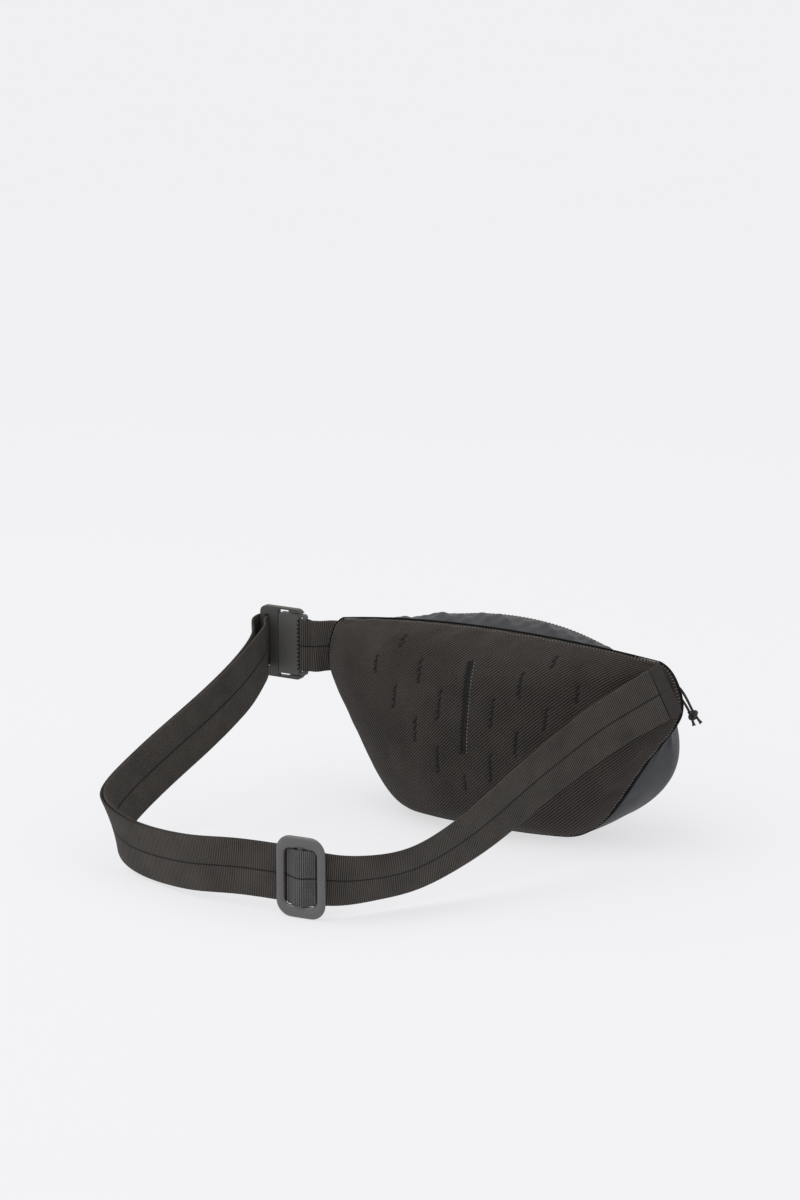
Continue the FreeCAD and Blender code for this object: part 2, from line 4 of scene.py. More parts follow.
import bpy
import bmesh
import numpy as np
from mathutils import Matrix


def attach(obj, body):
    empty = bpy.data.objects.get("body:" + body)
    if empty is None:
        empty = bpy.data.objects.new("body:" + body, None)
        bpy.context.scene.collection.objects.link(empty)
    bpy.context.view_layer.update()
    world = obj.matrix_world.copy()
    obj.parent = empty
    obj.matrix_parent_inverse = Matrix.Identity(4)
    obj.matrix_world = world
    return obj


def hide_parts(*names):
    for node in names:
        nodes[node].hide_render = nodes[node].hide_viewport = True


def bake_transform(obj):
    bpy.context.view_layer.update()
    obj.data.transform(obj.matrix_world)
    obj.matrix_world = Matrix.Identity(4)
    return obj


# Looks of the waist bag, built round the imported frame.
# Shapes are worked out in millimetres and become metres when a mesh is made.

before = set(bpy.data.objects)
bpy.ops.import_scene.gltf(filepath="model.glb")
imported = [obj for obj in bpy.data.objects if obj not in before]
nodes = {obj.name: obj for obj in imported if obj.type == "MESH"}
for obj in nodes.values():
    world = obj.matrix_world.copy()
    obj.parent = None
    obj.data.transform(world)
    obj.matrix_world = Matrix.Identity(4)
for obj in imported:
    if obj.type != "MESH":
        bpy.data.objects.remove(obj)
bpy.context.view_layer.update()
scene = bpy.context.scene
MM = 0.001

# ---- dimensions
WEB_HALF = 19.0
WEB_THICK = 1.7
LAYER_SHIFT = 2.6
RIB_PITCH = 1.35
DOME_DEPTH = 43.0
ZIP_RADIUS = 228.6
ZIP_HALF_ANGLE = 33.0
ZIP_CENTRE = np.array((0.0, -111.1, -44.3))
ZIP_AXIS = np.array((0.0, -0.806, 0.592))
ZIP_UP = np.array((0.0, 0.592, 0.806))
BAND_HALF = 12.5
TOOTH_PITCH = 1.5
ADJUSTER_CENTRE = np.array((-12.6, -252.1, 28.0))
ADJUSTER_TRAVEL = np.array((-1.0, -0.08, 0.0))
BUCKLE_CENTRE = np.array((-172.0, -7.0, 110.0))
KNOT_CENTRE = np.array((143.6, 8.7, 96.0))
CORD_RADIUS = 0.9
CORNER = 0.45
SEAM_END = 1.30
SIDE_SWELL = 0.55
SWELL_START = 0.40
SIDE_BULGE = 0.45
BULGE_MIDDLE = (0, 0.916, -0.401)
BULGE_SIDE = (0.42, 0.05)
TOP_MIDDLE = (-23.0, 147.0)
TOP_CROWN = 3.0
FLOOR_GAP = 0.03

# Wall thicknesses, and how deep the inner layers lie under the outer surface.
PANEL_SKIN = 1.6
SHELL_SKIN = 1.2
FOAM_DEPTHS = (2.1, 6.4)
PANEL_LINING_DEPTHS = (7.0, 7.6)
LINING_DEPTHS = (2.6, 3.2)
# The line through the bag that the walls thicken towards: half its length, its y and z.
CORE_HALF = 90
CORE_PLACE = (-5.0, 78.0)
BINDING_DEPTHS = (4.2, 9.6)
PIPING_RADIUS, TOP_PIPING_RADIUS = 0.8, 0.5

# Settings of the cloth simulation, in Blender's units.
CLOTH_FRAMES = 20
CLOTH_MASS = 0.15
CLOTH_STIFFNESS = 15
CLOTH_SHEAR = 5
CLOTH_BENDING = 0.3
CLOTH_PRESSURE = 4.0

# Zipper tapes, measured across the zipper from its middle line, and the coils' wire.
TAPE_INNER, TAPE_OUTER = 2.4, 12.0
COIL_HALF_ANGLE = 32.6
WIRE_RADIUS = 0.42
WIRE_BENDS, WIRE_SIDES = 7, 6

# Adjuster: ring and opening as width and height, centre bar, and the fold over it.
RING_SIZE = (36.0, 56.0)
RING_CORNER = 11.0
RING_OPENING = (23.6, 38.4)
RING_OPENING_CORNER = 4.0
RING_GAP = 1.0
BAR_RADII = (2.25, 1.1)
BAR_HALF = 21.5
FOLD_HALF = 10.2
FOLD_LIFT = 1.9
FOLD_HEIGHT = 4.1

# The belt's turn round the hook's outer bar, placed from the buckle's centre.
HOOK_BAR_X = -23.9
HOOK_TURN_RADIUS = 4.1

SEAM_POINTS = [
    (0.00, (0, -23, 2.0)),
    (0.17, (30, -22.5, 2.0)),
    (0.33, (55, -20, 2.6)),
    (0.45, (72, -17, 5.5)),
    (0.53, (84, -14.5, 13.5)),
    (0.64, (98, -12, 31)),
    (0.82, (120, -9, 65)),
    (0.94, (136, -5.5, 88)),
    (1.00, (141, -4.5, 98)),
    (1.13, (139, -5.5, 119)),
    (1.30, (127, -9, 135)),
]
SHELL_PROFILE = [
    (0.00, (0.000, 0.000)),
    (0.13, (0.050, 0.153)),
    (0.20, (0.080, 0.222)),
    (0.27, (0.108, 0.281)),
    (0.45, (0.330, 0.330)),
    (0.66, (0.620, 0.275)),
    (0.84, (0.850, 0.155)),
    (1.00, (1.000, 0.000)),
]
# Belt stations from the right end of the bag to the hook: centre, width direction.
BELT_ROUTE = [
    ((131.7, -21.6, 115.8), (-0.40, -0.18, 0.90)),
    ((121.5, -38.5, 108.4), (-0.32, -0.28, 0.90)),
    ((106, -61, 96), (-0.27, -0.33, 0.91)),
    ((93, -81, 82.5), (-0.22, -0.35, 0.91)),
    ((83, -104, 70.5), (-0.17, -0.37, 0.92)),
    ((75, -128, 59), (-0.13, -0.37, 0.92)),
    ((67, -154, 47.5), (-0.05, -0.39, 0.92)),
    ((56, -180, 36.5), (0.04, -0.43, 0.90)),
    ((43, -204, 28.5), (0.09, -0.46, 0.88)),
    ((27, -227, 26), (0.08, -0.42, 0.90)),
    ((7, -246, 26.5), (0.02, -0.18, 0.98)),
    ((-13, -252.1, 28), (0, 0, 1)),
    ((-38, -254.1, 28), (0, 0, 1)),
    ((-63, -256.0, 27.5), (0, 0, 1)),
    ((-92, -255.5, 24.5), (0, -0.02, 1)),
    ((-119, -249, 21.5), (-0.01, -0.05, 0.99)),
    ((-145, -242, 20.8), (-0.05, -0.09, 0.98)),
    ((-164, -236, 23), (-0.11, -0.13, 0.97)),
    ((-178, -229, 28), (-0.19, -0.17, 0.96)),
    ((-187, -219, 33), (-0.26, -0.23, 0.94)),
    ((-190.5, -205, 38.5), (-0.29, -0.28, 0.91)),
    ((-190, -182, 47.5), (-0.29, -0.31, 0.905)),
    ((-187, -156, 58), (-0.29, -0.31, 0.905)),
    ((-183.5, -130, 68), (-0.28, -0.31, 0.91)),
    ((-179.5, -104, 79), (-0.24, -0.31, 0.925)),
    ((-178, -77, 89.5), (-0.19, -0.29, 0.935)),
    ((-181, -51, 98.5), (-0.11, -0.22, 0.97)),
    ((-190.5, -29, 105.5), (-0.03, -0.08, 0.99)),
    ((-198.8, -17, 109.2), (0, 0, 1)),
    ((-200, -8.4, 110), (0, 0, 1)),
]
RETURN_FIRST = 12
RETURN_LAST = 26
RETURN_END = [
    ((-181.0, -37, 102.5), (-0.07, -0.14, 0.99)),
    ((-186.8, -20, 107.5), (-0.02, -0.04, 1)),
    ((-190.8, -13.5, 109.4), (0, 0, 1)),
    ((-191.8, -8.4, 110), (0, 0, 1)),
]
ANCHOR_END = [
    ((132.2, -20.8, 116.2), (-0.40, -0.18, 0.90)),
    ((134.6, -17.0, 117.9), (-0.42, -0.17, 0.89)),
    ((136.8, -13.2, 119.5), (-0.43, -0.16, 0.89)),
]
CORD_ROUTE = [
    (148.4, 11.6, 90.4),
    (144.2, 9.3, 96.6),
    (138.6, 8.8, 107.2),
    (133.6, 7.8, 114.6),
    (129.0, 6.7, 116.3),
    (128.1, 4.4, 113.2),
    (132.6, 4.6, 111.6),
    (137.6, 6.8, 104.8),
    (142.9, 8.1, 95.6),
    (145.4, 7.0, 89.2),
]
# Vents in the back panel: place along the bag, start and end below the top seam.
CENTRE_VENT = (0, 32, 98)
LOWEST_VENT = (0, 113, 127)
SIDE_VENTS = [(21, 55, 77), (21, 95, 116), (40, 34, 53), (40, 76, 95),
              (60, 17, 28), (60, 55, 72), (80, 34, 48)]
VENTS = [CENTRE_VENT, *[(side * place, top, bottom) for place, top, bottom in SIDE_VENTS
                        for side in (1, -1)], LOWEST_VENT]


# ---- helpers
def unit(v):
    v = np.asarray(v, float)
    return v / np.maximum(np.linalg.norm(v, axis=-1, keepdims=True), 1e-9)


def mix(a, b, t):
    return a * (1.0 - t) + b * t


def spread_out(*values):
    return np.broadcast_arrays(*[np.asarray(value, float) for value in values])


def curve_through(knots, points):
    """Smooth curve through points, with end slopes of the parabola through three."""
    t = np.array(knots, float)
    p = np.array(points, float)
    n = len(t)
    h = np.diff(t)
    slope = np.diff(p, axis=0) / h[:, None]
    first = slope[0] - (slope[1] - slope[0]) * h[0] / (h[0] + h[1])
    last = slope[-1] + (slope[-1] - slope[-2]) * h[-1] / (h[-1] + h[-2])
    a = np.zeros((n, n))
    r = np.zeros_like(p)
    a[0, :2] = 2 * h[0], h[0]
    r[0] = 6 * (slope[0] - first)
    a[-1, -2:] = h[-1], 2 * h[-1]
    r[-1] = 6 * (last - slope[-1])
    for i in range(1, n - 1):
        a[i, i - 1:i + 2] = h[i - 1], 2 * (h[i - 1] + h[i]), h[i]
        r[i] = 6 * (slope[i] - slope[i - 1])
    m = np.linalg.solve(a, r)

    def value(s):
        s = np.clip(np.asarray(s, float), t[0], t[-1])
        i = np.clip(np.searchsorted(t, s, side="right") - 1, 0, n - 2)
        low = (s - t[i])[..., None]
        high = (t[i + 1] - s)[..., None]
        step = h[i][..., None]
        bend = (m[i] * high ** 3 + m[i + 1] * low ** 3) / (6 * step)
        return (bend + (p[i] / step - m[i] * step / 6) * high
                + (p[i + 1] / step - m[i + 1] * step / 6) * low)
    return value


SEAM = curve_through([t for t, _ in SEAM_POINTS], [p for _, p in SEAM_POINTS])
PROFILE = curve_through([t for t, _ in SHELL_PROFILE], [p for _, p in SHELL_PROFILE])


def seam(parameter, side):
    return SEAM(np.abs(parameter)) * np.stack(
        [side, np.ones_like(side), np.ones_like(side)], -1)


def full_turn(count):
    return np.linspace(0, 2 * math.pi, count, endpoint=False)


def side_of(u):
    return np.where(u < 0, -1.0, 1.0)


def crown(x, power):
    return np.maximum(0.0, 1.0 - np.abs(x) ** power) ** 0.6


def spaced(count):
    return np.sin(math.pi / 2 * np.linspace(-1, 1, count))


def top_seam(u):
    end = SEAM(SEAM_END)
    return np.stack([end[0] * u, mix(TOP_MIDDLE[0], end[1], u * u),
                     mix(TOP_MIDDLE[1], end[2], u * u)], -1)


def zip_frame(angle):
    a = np.radians(angle)[..., None]
    x = np.array((1.0, 0, 0))
    return x * np.sin(a) + ZIP_UP * np.cos(a), x * np.cos(a) - ZIP_UP * np.sin(a)


def zip_point(angle, lift=0.0, offset=0.0):
    angle, lift, offset = spread_out(angle, lift, offset)
    across, _ = zip_frame(angle)
    return ZIP_CENTRE + across * (ZIP_RADIUS + lift)[..., None] + ZIP_AXIS * offset[..., None]


def panel_surface(u, v):
    u, v = np.meshgrid(u, v, indexing="ij")
    a = ((u + 1) / 2)[..., None]
    w = v[..., None]
    flat_side = np.ones_like(u)
    bottom = seam(CORNER * np.abs(u), side_of(u))
    right = seam(mix(CORNER, SEAM_END, v), flat_side)
    left = seam(mix(CORNER, SEAM_END, v), -flat_side)
    mirror = np.array((-1.0, 1, 1))
    low = mix(SEAM(CORNER) * mirror, SEAM(CORNER), a)
    high = mix(SEAM(SEAM_END) * mirror, SEAM(SEAM_END), a)
    p = mix(bottom, top_seam(u), w) + mix(left, right, a) - mix(low, high, w)
    p[..., 1] -= DOME_DEPTH * crown(u, 2.4) * crown(2 * v - 1, 2.0)
    return p


def shell_surface(u, w):
    u, w = np.meshgrid(u, w, indexing="ij")
    start = seam(np.abs(u), side_of(u))
    end = zip_point(ZIP_HALF_ANGLE * u, 0.0, -BAND_HALF)
    chord = end - start
    length = np.linalg.norm(chord, axis=-1, keepdims=True)
    share = (np.abs(u) ** 2.6)[..., None]
    side = (np.abs(u) ** 1.6)[..., None]
    section = PROFILE(w)
    along = mix(section[..., :1], w[..., None], share)
    turned = np.stack([side_of(u), *[np.full_like(u, part) for part in BULGE_SIDE]], -1)
    out = mix(np.array(BULGE_MIDDLE), turned, side)
    out = unit(out - chord * ((out * chord).sum(-1, keepdims=True) / length ** 2))
    reach = np.maximum(0.0, np.abs(u) - SWELL_START) / (1.0 - SWELL_START)
    swell = (SIDE_SWELL * np.sin(math.pi * reach) ** 2)[..., None]
    bulge = section[..., 1:] * length * (mix(1.0, SIDE_BULGE, share) + swell)
    p = start + chord * along + out * bulge
    p[..., 2] = np.maximum(p[..., 2], FLOOR_GAP)
    return p


def top_surface(u, w):
    u, w = np.meshgrid(u, w, indexing="ij")
    p = mix(top_seam(u), zip_point(ZIP_HALF_ANGLE * u, 0.0, BAND_HALF), w[..., None])
    p[..., 2] += TOP_CROWN * np.sin(math.pi * w) * (1 - u * u)
    return p


def tab_surface(side, a, b):
    a, b = np.meshgrid(a, b, indexing="ij")
    outer = seam(mix(1.0, SEAM_END, b), np.full_like(b, side))
    ends = zip_point(ZIP_HALF_ANGLE * side, 0.0, np.array((-BAND_HALF, BAND_HALF)))
    p = mix(outer, mix(ends[0], ends[1], b[..., None]), a[..., None])
    p[..., 0] += side * 2.0 * np.sin(math.pi * a)
    return p


def inward(p, depth):
    """Points moved towards a line through the middle of the bag."""
    core = np.stack([np.clip(p[..., 0], -CORE_HALF, CORE_HALF),
                     *[np.full(p.shape[:-1], place) for place in CORE_PLACE]], -1)
    return p + unit(core - p) * depth


def grid_normals(p, flip=False):
    n = unit(np.cross(np.gradient(p, axis=0), np.gradient(p, axis=1)))
    return -n if flip else n


def lengths(p, axis):
    """Running length along one direction of a grid of points."""
    step = np.linalg.norm(np.diff(p, axis=axis), axis=-1)
    start = np.zeros_like(np.take(step, [0], axis=axis))
    return np.concatenate([start, np.cumsum(step, axis=axis)], axis=axis)


def unrolled(p):
    """Running lengths of a grid both ways, as uv."""
    return np.stack([lengths(p, 0), lengths(p, 1)], -1)


def added(name, data):
    """Object in the scene."""
    obj = bpy.data.objects.new(name, data)
    scene.collection.objects.link(obj)
    return obj


@contextmanager
def edited(mesh):
    edit = bmesh.new()
    edit.from_mesh(mesh)
    yield edit
    edit.to_mesh(mesh)
    edit.free()


def make_object(name, vertices, faces, uv=None, sharp=50.0):
    """Mesh object from points in millimetres; uv is one pair per vertex."""
    mesh = bpy.data.meshes.new(name)
    mesh.from_pydata((np.asarray(vertices).reshape(-1, 3) * MM).tolist(), [],
                     faces if isinstance(faces, list) else faces.tolist())
    if uv is not None:
        layer = mesh.uv_layers.new(name="UVMap")
        corner = np.zeros(len(mesh.loops), int)
        mesh.loops.foreach_get("vertex_index", corner)
        flat = np.asarray(uv, np.float32).reshape(-1, 2)[corner]
        layer.data.foreach_set("uv", flat.ravel())
    mesh.shade_smooth()
    mesh.set_sharp_from_angle(angle=math.radians(sharp))
    mesh.update()
    return added(name, mesh)


def grid_faces(n, m, start=0, flip=False, wrap=False):
    last = m if wrap else m - 1
    i, j = np.meshgrid(np.arange(n - 1), np.arange(last), indexing="ij")
    k = (j + 1) % m
    quads = [start + i * m + j, start + (i + 1) * m + j,
             start + (i + 1) * m + k, start + i * m + k]
    if flip:
        quads.reverse()
    return np.stack(quads, -1).reshape(-1, 4)


def slab(name, front, back, uv, flip=False):
    """Closed wall between two grids of points."""
    n, m = front.shape[:2]
    size = n * m
    index = np.arange(size).reshape(n, m)
    rim = np.concatenate([index[:, 0], index[-1, 1:], index[-2::-1, -1],
                          index[0, -2:0:-1]])
    after = np.roll(rim, -1)
    walls = np.stack([rim, rim + size, after + size, after], -1)
    if flip:
        walls = walls[:, ::-1]
    faces = np.concatenate([grid_faces(n, m, 0, flip), grid_faces(n, m, size, not flip),
                            walls])
    points = np.concatenate([front.reshape(-1, 3), back.reshape(-1, 3)])
    return make_object(name, points, faces, np.concatenate([uv.reshape(-1, 2)] * 2))


def softened(values):
    for _ in range(3):
        for axis in (0, 1):
            padded = np.concatenate([np.take(values, [0], axis), values,
                                     np.take(values, [-1], axis)], axis)
            n = values.shape[axis]
            values = (np.take(padded, range(n), axis) + 2 * values
                      + np.take(padded, range(2, n + 2), axis)) / 4
    return values


def enlarged(values, rows, columns):
    for axis, count in ((0, rows), (1, columns)):
        at = np.linspace(0, values.shape[axis] - 1, count)
        low = np.minimum(at.astype(int), values.shape[axis] - 2)
        shape = [1] * values.ndim
        shape[axis] = count
        part = (at - low).reshape(shape)
        values = mix(np.take(values, low, axis), np.take(values, low + 1, axis), part)
    return softened(values)


def read_between(values, rows, columns, wanted_rows, wanted_columns):
    """Values of a grid read at other rows and columns."""
    values = np.apply_along_axis(lambda line: np.interp(wanted_rows, rows, line), 0, values)
    return np.apply_along_axis(lambda line: np.interp(wanted_columns, columns, line), 1,
                               values)


def inflated(points, flip, start, shrink, out, back):
    """Displacement of cloth held at its border and filled from inside.

    Its middle starts that far inside the surface, and it is kept from back in to out.
    """
    n, m = points.shape[:2]
    normals = grid_normals(points, flip)
    slack = crown(np.linspace(-1, 1, n), 2.0)[:, None] * crown(np.linspace(-1, 1, m), 2.0)
    begin = points - normals * (start * slack)[..., None]
    obj = make_object("cloth_trial", begin, grid_faces(n, m, 0, flip))
    held = obj.vertex_groups.new(name="held")
    index = np.arange(n * m).reshape(n, m)
    border = np.concatenate([index[0], index[-1], index[:, 0], index[:, -1]])
    held.add([int(i) for i in border], 1.0, "REPLACE")
    cloth = obj.modifiers.new("cloth", "CLOTH")
    s = cloth.settings
    s.quality = 6
    s.mass = CLOTH_MASS
    s.tension_stiffness = CLOTH_STIFFNESS
    s.compression_stiffness = CLOTH_STIFFNESS
    s.shear_stiffness = CLOTH_SHEAR
    s.bending_stiffness = CLOTH_BENDING
    s.use_pressure = True
    s.uniform_pressure_force = CLOTH_PRESSURE
    s.shrink_min = -shrink
    s.effector_weights.gravity = 0
    s.vertex_group_mass = "held"
    for number in range(1, CLOTH_FRAMES + 1):
        scene.frame_set(number)
    ready = obj.evaluated_get(bpy.context.evaluated_depsgraph_get())
    co = np.zeros(n * m * 3)
    ready.data.vertices.foreach_get("co", co)
    moved = co.reshape(n, m, 3) / MM - points
    bpy.data.objects.remove(obj)
    scene.frame_set(1)
    lift = (moved * normals).sum(-1, keepdims=True)
    return normals * np.clip(lift, -back, out)


# ---- materials
class Finish:
    """A Principled material whose colour, roughness and bump come from nodes."""

    def __init__(self, name, dark, light, roughness, sheen=0.0, metallic=0.0, specular=0.4):
        self.material = bpy.data.materials.new(name)
        self.material.use_nodes = True
        self.tree = self.material.node_tree
        self.shader = self.tree.nodes["Principled BSDF"]
        self.dark = dark
        self.light = light
        for socket, value in (("Roughness", roughness), ("Sheen Weight", sheen),
                              ("Metallic", metallic), ("Specular IOR Level", specular)):
            self.shader.inputs[socket].default_value = value
        self.roughness = roughness

    def node(self, kind, **values):
        n = self.tree.nodes.new(kind)
        for key, value in values.items():
            setattr(n, key, value)
        return n

    def put(self, socket, value):
        if isinstance(value, bpy.types.NodeSocket):
            self.tree.links.new(value, socket)
        else:
            socket.default_value = value

    def calc(self, operation, a, b=0.0, c=0.0):
        n = self.node("ShaderNodeMath", operation=operation)
        for socket, value in zip(n.inputs, (a, b, c)):
            self.put(socket, value)
        return n.outputs[0]

    def uv(self):
        source = self.node("ShaderNodeUVMap", uv_map="UVMap")
        parts = self.node("ShaderNodeSeparateXYZ")
        self.tree.links.new(source.outputs[0], parts.inputs[0])
        return parts.outputs[0], parts.outputs[1]

    def wave(self, position, pitch):
        """Smooth ridges from 0 to 1 along a coordinate in millimetres."""
        turn = self.calc("MULTIPLY", position, 2 * math.pi / pitch)
        return self.calc("MULTIPLY_ADD", self.calc("SINE", turn), 0.5, 0.5)

    def noise(self, scale, detail=3.0, rough=0.5):
        place = self.node("ShaderNodeTexCoord").outputs["Object"]
        n = self.node("ShaderNodeTexNoise")
        self.tree.links.new(place, n.inputs["Vector"])
        n.inputs["Scale"].default_value = scale
        n.inputs["Detail"].default_value = detail
        n.inputs["Roughness"].default_value = rough
        return n.outputs[0]

    def close(self, height, depth, tone=None, strength=0.6, spread=0.12):
        """Links the height to bump, and the tone to colour and roughness."""
        tone = height if tone is None else tone
        ramp = self.node("ShaderNodeMix", data_type="RGBA")
        self.put(ramp.inputs[0], tone)
        ramp.inputs[6].default_value = (*self.dark, 1)
        ramp.inputs[7].default_value = (*self.light, 1)
        self.tree.links.new(ramp.outputs[2], self.shader.inputs["Base Color"])
        rough = self.calc("MULTIPLY_ADD", tone, -spread, self.roughness + spread / 2)
        self.tree.links.new(rough, self.shader.inputs["Roughness"])
        bump = self.node("ShaderNodeBump")
        bump.inputs["Strength"].default_value = strength
        bump.inputs["Distance"].default_value = depth * MM
        self.put(bump.inputs["Height"], height)
        self.tree.links.new(bump.outputs[0], self.shader.inputs["Normal"])
        return self.material


def knit():
    f = Finish("panel_knit", (0.006, 0.005, 0.0045), (0.082, 0.069, 0.062), 0.85, 0.03, 0.0,
               0.15)
    x, y = f.uv()
    across = f.calc("MULTIPLY", f.calc("SUBTRACT", y, x), math.sqrt(0.5))
    along = f.calc("MULTIPLY", f.calc("ADD", y, x), math.sqrt(0.5))
    rib = f.wave(across, 1.75)
    yarn = f.wave(along, 1.15)
    height = f.calc("MULTIPLY_ADD", f.calc("MULTIPLY", rib, yarn), 0.45,
                    f.calc("MULTIPLY", rib, 0.55))
    patch = f.calc("MULTIPLY_ADD", f.noise(35.0), 0.5, -0.22)
    fleck = f.calc("MULTIPLY_ADD", f.noise(900.0), 0.5, -0.22)
    tone = f.calc("ADD", f.calc("ADD", height, patch), fleck)
    tone = f.calc("MULTIPLY", f.calc("MAXIMUM", tone, 0.0), 0.85)
    return f.close(height, 0.45, tone)


def webbing(name, dark, light, depth=0.4, smooth=False):
    f = Finish(name, dark, light, 0.78, 0.04, 0.0, 0.18)
    s, w = f.uv()
    rib = f.calc("POWER", f.wave(s, RIB_PITCH), 2.0)
    warp = f.wave(w, 0.9)
    height = f.calc("MULTIPLY_ADD", rib, 0.15 if smooth else 0.75,
                    f.calc("MULTIPLY", warp, 0.25))
    # Near black along the centre line: painted shade in the centre groove; the same mask also
    # flattens the ribs' bump there.
    middle = f.calc("SMOOTH_MIN", f.calc("MULTIPLY", f.calc("ABSOLUTE", w), 1.1), 1.0, 0.3)
    worn = f.calc("MULTIPLY_ADD", f.noise(60.0), 0.4, -0.18)
    fleck = f.calc("MULTIPLY_ADD", f.noise(1100.0), 0.35, -0.16)
    tone = f.calc("ADD", f.calc("ADD", height, worn), fleck)
    tone = f.calc("MULTIPLY", f.calc("MAXIMUM", tone, 0.0), middle)
    return f.close(f.calc("MULTIPLY", height, middle), depth, tone)


def woven(name, dark, light, roughness, pitch, depth, wrinkle=0.0):
    f = Finish(name, dark, light, roughness, 0.03, 0.0, 0.3)
    x, y = f.uv()
    weave = f.calc("MULTIPLY", f.wave(x, pitch), f.wave(y, pitch))
    crease = f.noise(42.0, 2.0, 0.4)
    fold = f.noise(14.0, 1.0, 0.3)
    height = f.calc("MULTIPLY_ADD", weave, 0.06 if wrinkle else 1.0,
                    f.calc("MULTIPLY", f.calc("ADD", crease, fold), wrinkle))
    # The tone follows the crease noise; in the wrinkled nylons, where that noise is also the
    # bump, this is painted shade in the crease hollows and painted light on the crests,
    # elsewhere a random mottle.
    tone = f.calc("MULTIPLY_ADD", crease, 0.6, f.calc("MULTIPLY", weave, 0.35))
    return f.close(height, depth, tone, 0.5)


def moulded(name, dark, light, roughness, grain, depth, metallic=0.0, specular=0.5):
    f = Finish(name, dark, light, roughness, 0.0, metallic, specular)
    fine = f.noise(grain, 4.0, 0.6)
    patch = f.noise(70.0, 2.0)
    return f.close(fine, depth, f.calc("MULTIPLY_ADD", patch, 0.6,
                                       f.calc("MULTIPLY", fine, 0.4)), 0.4, 0.2)


FINISH_TABLE = [
    ("foam", moulded, (0.02, 0.02, 0.021), (0.05, 0.05, 0.052), 0.95, 900.0, 0.3),
    ("lining", woven, (0.07, 0.072, 0.078), (0.14, 0.143, 0.15), 0.6, 0.8, 0.15),
    ("shell_nylon", woven, (0.022, 0.023, 0.027), (0.046, 0.048, 0.056), 0.5, 0.7, 2.2, 0.5),
    # The top panel's nylon is the shell's nylon painted darker: painted shade on the top,
    # which faces the light.
    ("top_nylon", woven, (0.013, 0.0135, 0.0155), (0.028, 0.029, 0.033), 0.5, 0.7, 2.2, 0.5),
    ("binding", woven, (0.02, 0.019, 0.018), (0.055, 0.05, 0.047), 0.75, 1.2, 0.2),
    ("zipper_tape", woven, (0.015, 0.015, 0.016), (0.045, 0.045, 0.048), 0.75, 1.0, 0.2),
    ("zipper_coil", moulded, (0.02, 0.02, 0.021), (0.045, 0.045, 0.048), 0.35, 1500.0, 0.05),
    ("zipper_metal", moulded, (0.05, 0.05, 0.052), (0.11, 0.11, 0.115), 0.32, 700.0, 0.05,
     0.9),
    ("cord", moulded, (0.008, 0.008, 0.009), (0.03, 0.03, 0.032), 0.7, 1800.0, 0.4),
    ("webbing", webbing, (0.007, 0.006, 0.0055), (0.103, 0.091, 0.081), 0.7),
    ("webbing_end", webbing, (0.03, 0.027, 0.025), (0.055, 0.05, 0.046), 0.2, True),
    # The fold over the adjuster's bar is the belt's webbing painted lighter: a painted
    # highlight where it bends over the bar.
    ("webbing_hump", webbing, (0.007, 0.007, 0.007), (0.18, 0.172, 0.172), 0.9),
    ("adjuster_plastic", moulded, (0.075, 0.074, 0.076), (0.12, 0.118, 0.121), 0.27, 1300.0,
     0.06),
    ("buckle_plastic", moulded, (0.038, 0.037, 0.034), (0.062, 0.060, 0.055), 0.5, 1300.0,
     0.08),
    ("plate_plastic", moulded, (0.057, 0.055, 0.054), (0.094, 0.092, 0.089), 0.5, 1300.0,
     0.08),
    # The piping is painted near black: real piping whose tone also stands for the shade in the
    # seam's gap.
    ("piping", moulded, (0.004, 0.004, 0.004), (0.014, 0.014, 0.015), 0.9, 1500.0, 0.2, 0.0,
     0.1),
    ("magnet", moulded, (0.08, 0.08, 0.082), (0.16, 0.16, 0.165), 0.4, 500.0, 0.05, 1.0),
    # Near black: painted shade inside the vent holes and the buckle plate's grip notches.
    ("vent", moulded, (0.003, 0.003, 0.003), (0.007, 0.007, 0.007), 0.95, 900.0, 0.1),
    ("thread", moulded, (0.09, 0.084, 0.078), (0.19, 0.178, 0.166), 0.7, 2200.0, 0.1),
    ("dark_thread", moulded, (0.03, 0.027, 0.025), (0.07, 0.064, 0.059), 0.7, 2200.0, 0.1),
]
FINISHES = {"panel_knit": knit()}
for name, kind, *look in FINISH_TABLE:
    FINISHES[name] = kind(name, *look)


def dress(obj, finish, body="bag", replaces=(), ride=True):
    obj.data.materials.clear()
    obj.data.materials.append(FINISHES[finish])
    if ride:
        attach(obj, body)
    if replaces:
        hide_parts(*replaces)
    return obj


# ---- camera
CAMERA_PLACE = (1.1003, -2.0529, 0.7295)
CAMERA_DROP = 13.7
CAMERA_TURN = 30.0
CAMERA_LENS = 102.0
camera_data = bpy.data.cameras.new("camera")
camera_data.lens = CAMERA_LENS
camera_data.sensor_width = 36.0
camera = added("camera", camera_data)
camera.location = CAMERA_PLACE
camera.rotation_euler = (math.radians(90 - CAMERA_DROP), 0, math.radians(CAMERA_TURN))
scene.camera = camera


# ---- cord
def spline_object(name, points, radius, cyclic=False):
    data = bpy.data.curves.new(name, "CURVE")
    data.dimensions = "3D"
    data.bevel_depth = radius * MM
    data.bevel_resolution = 4
    data.resolution_u = 12
    data.use_fill_caps = True
    line = data.splines.new("NURBS")
    line.points.add(len(points) - 1)
    for point, place in zip(line.points, points):
        point.co = (*[c * MM for c in place], 1.0)
    line.order_u = 3
    line.use_cyclic_u = cyclic
    line.use_endpoint_u = not cyclic
    return added(name, data)


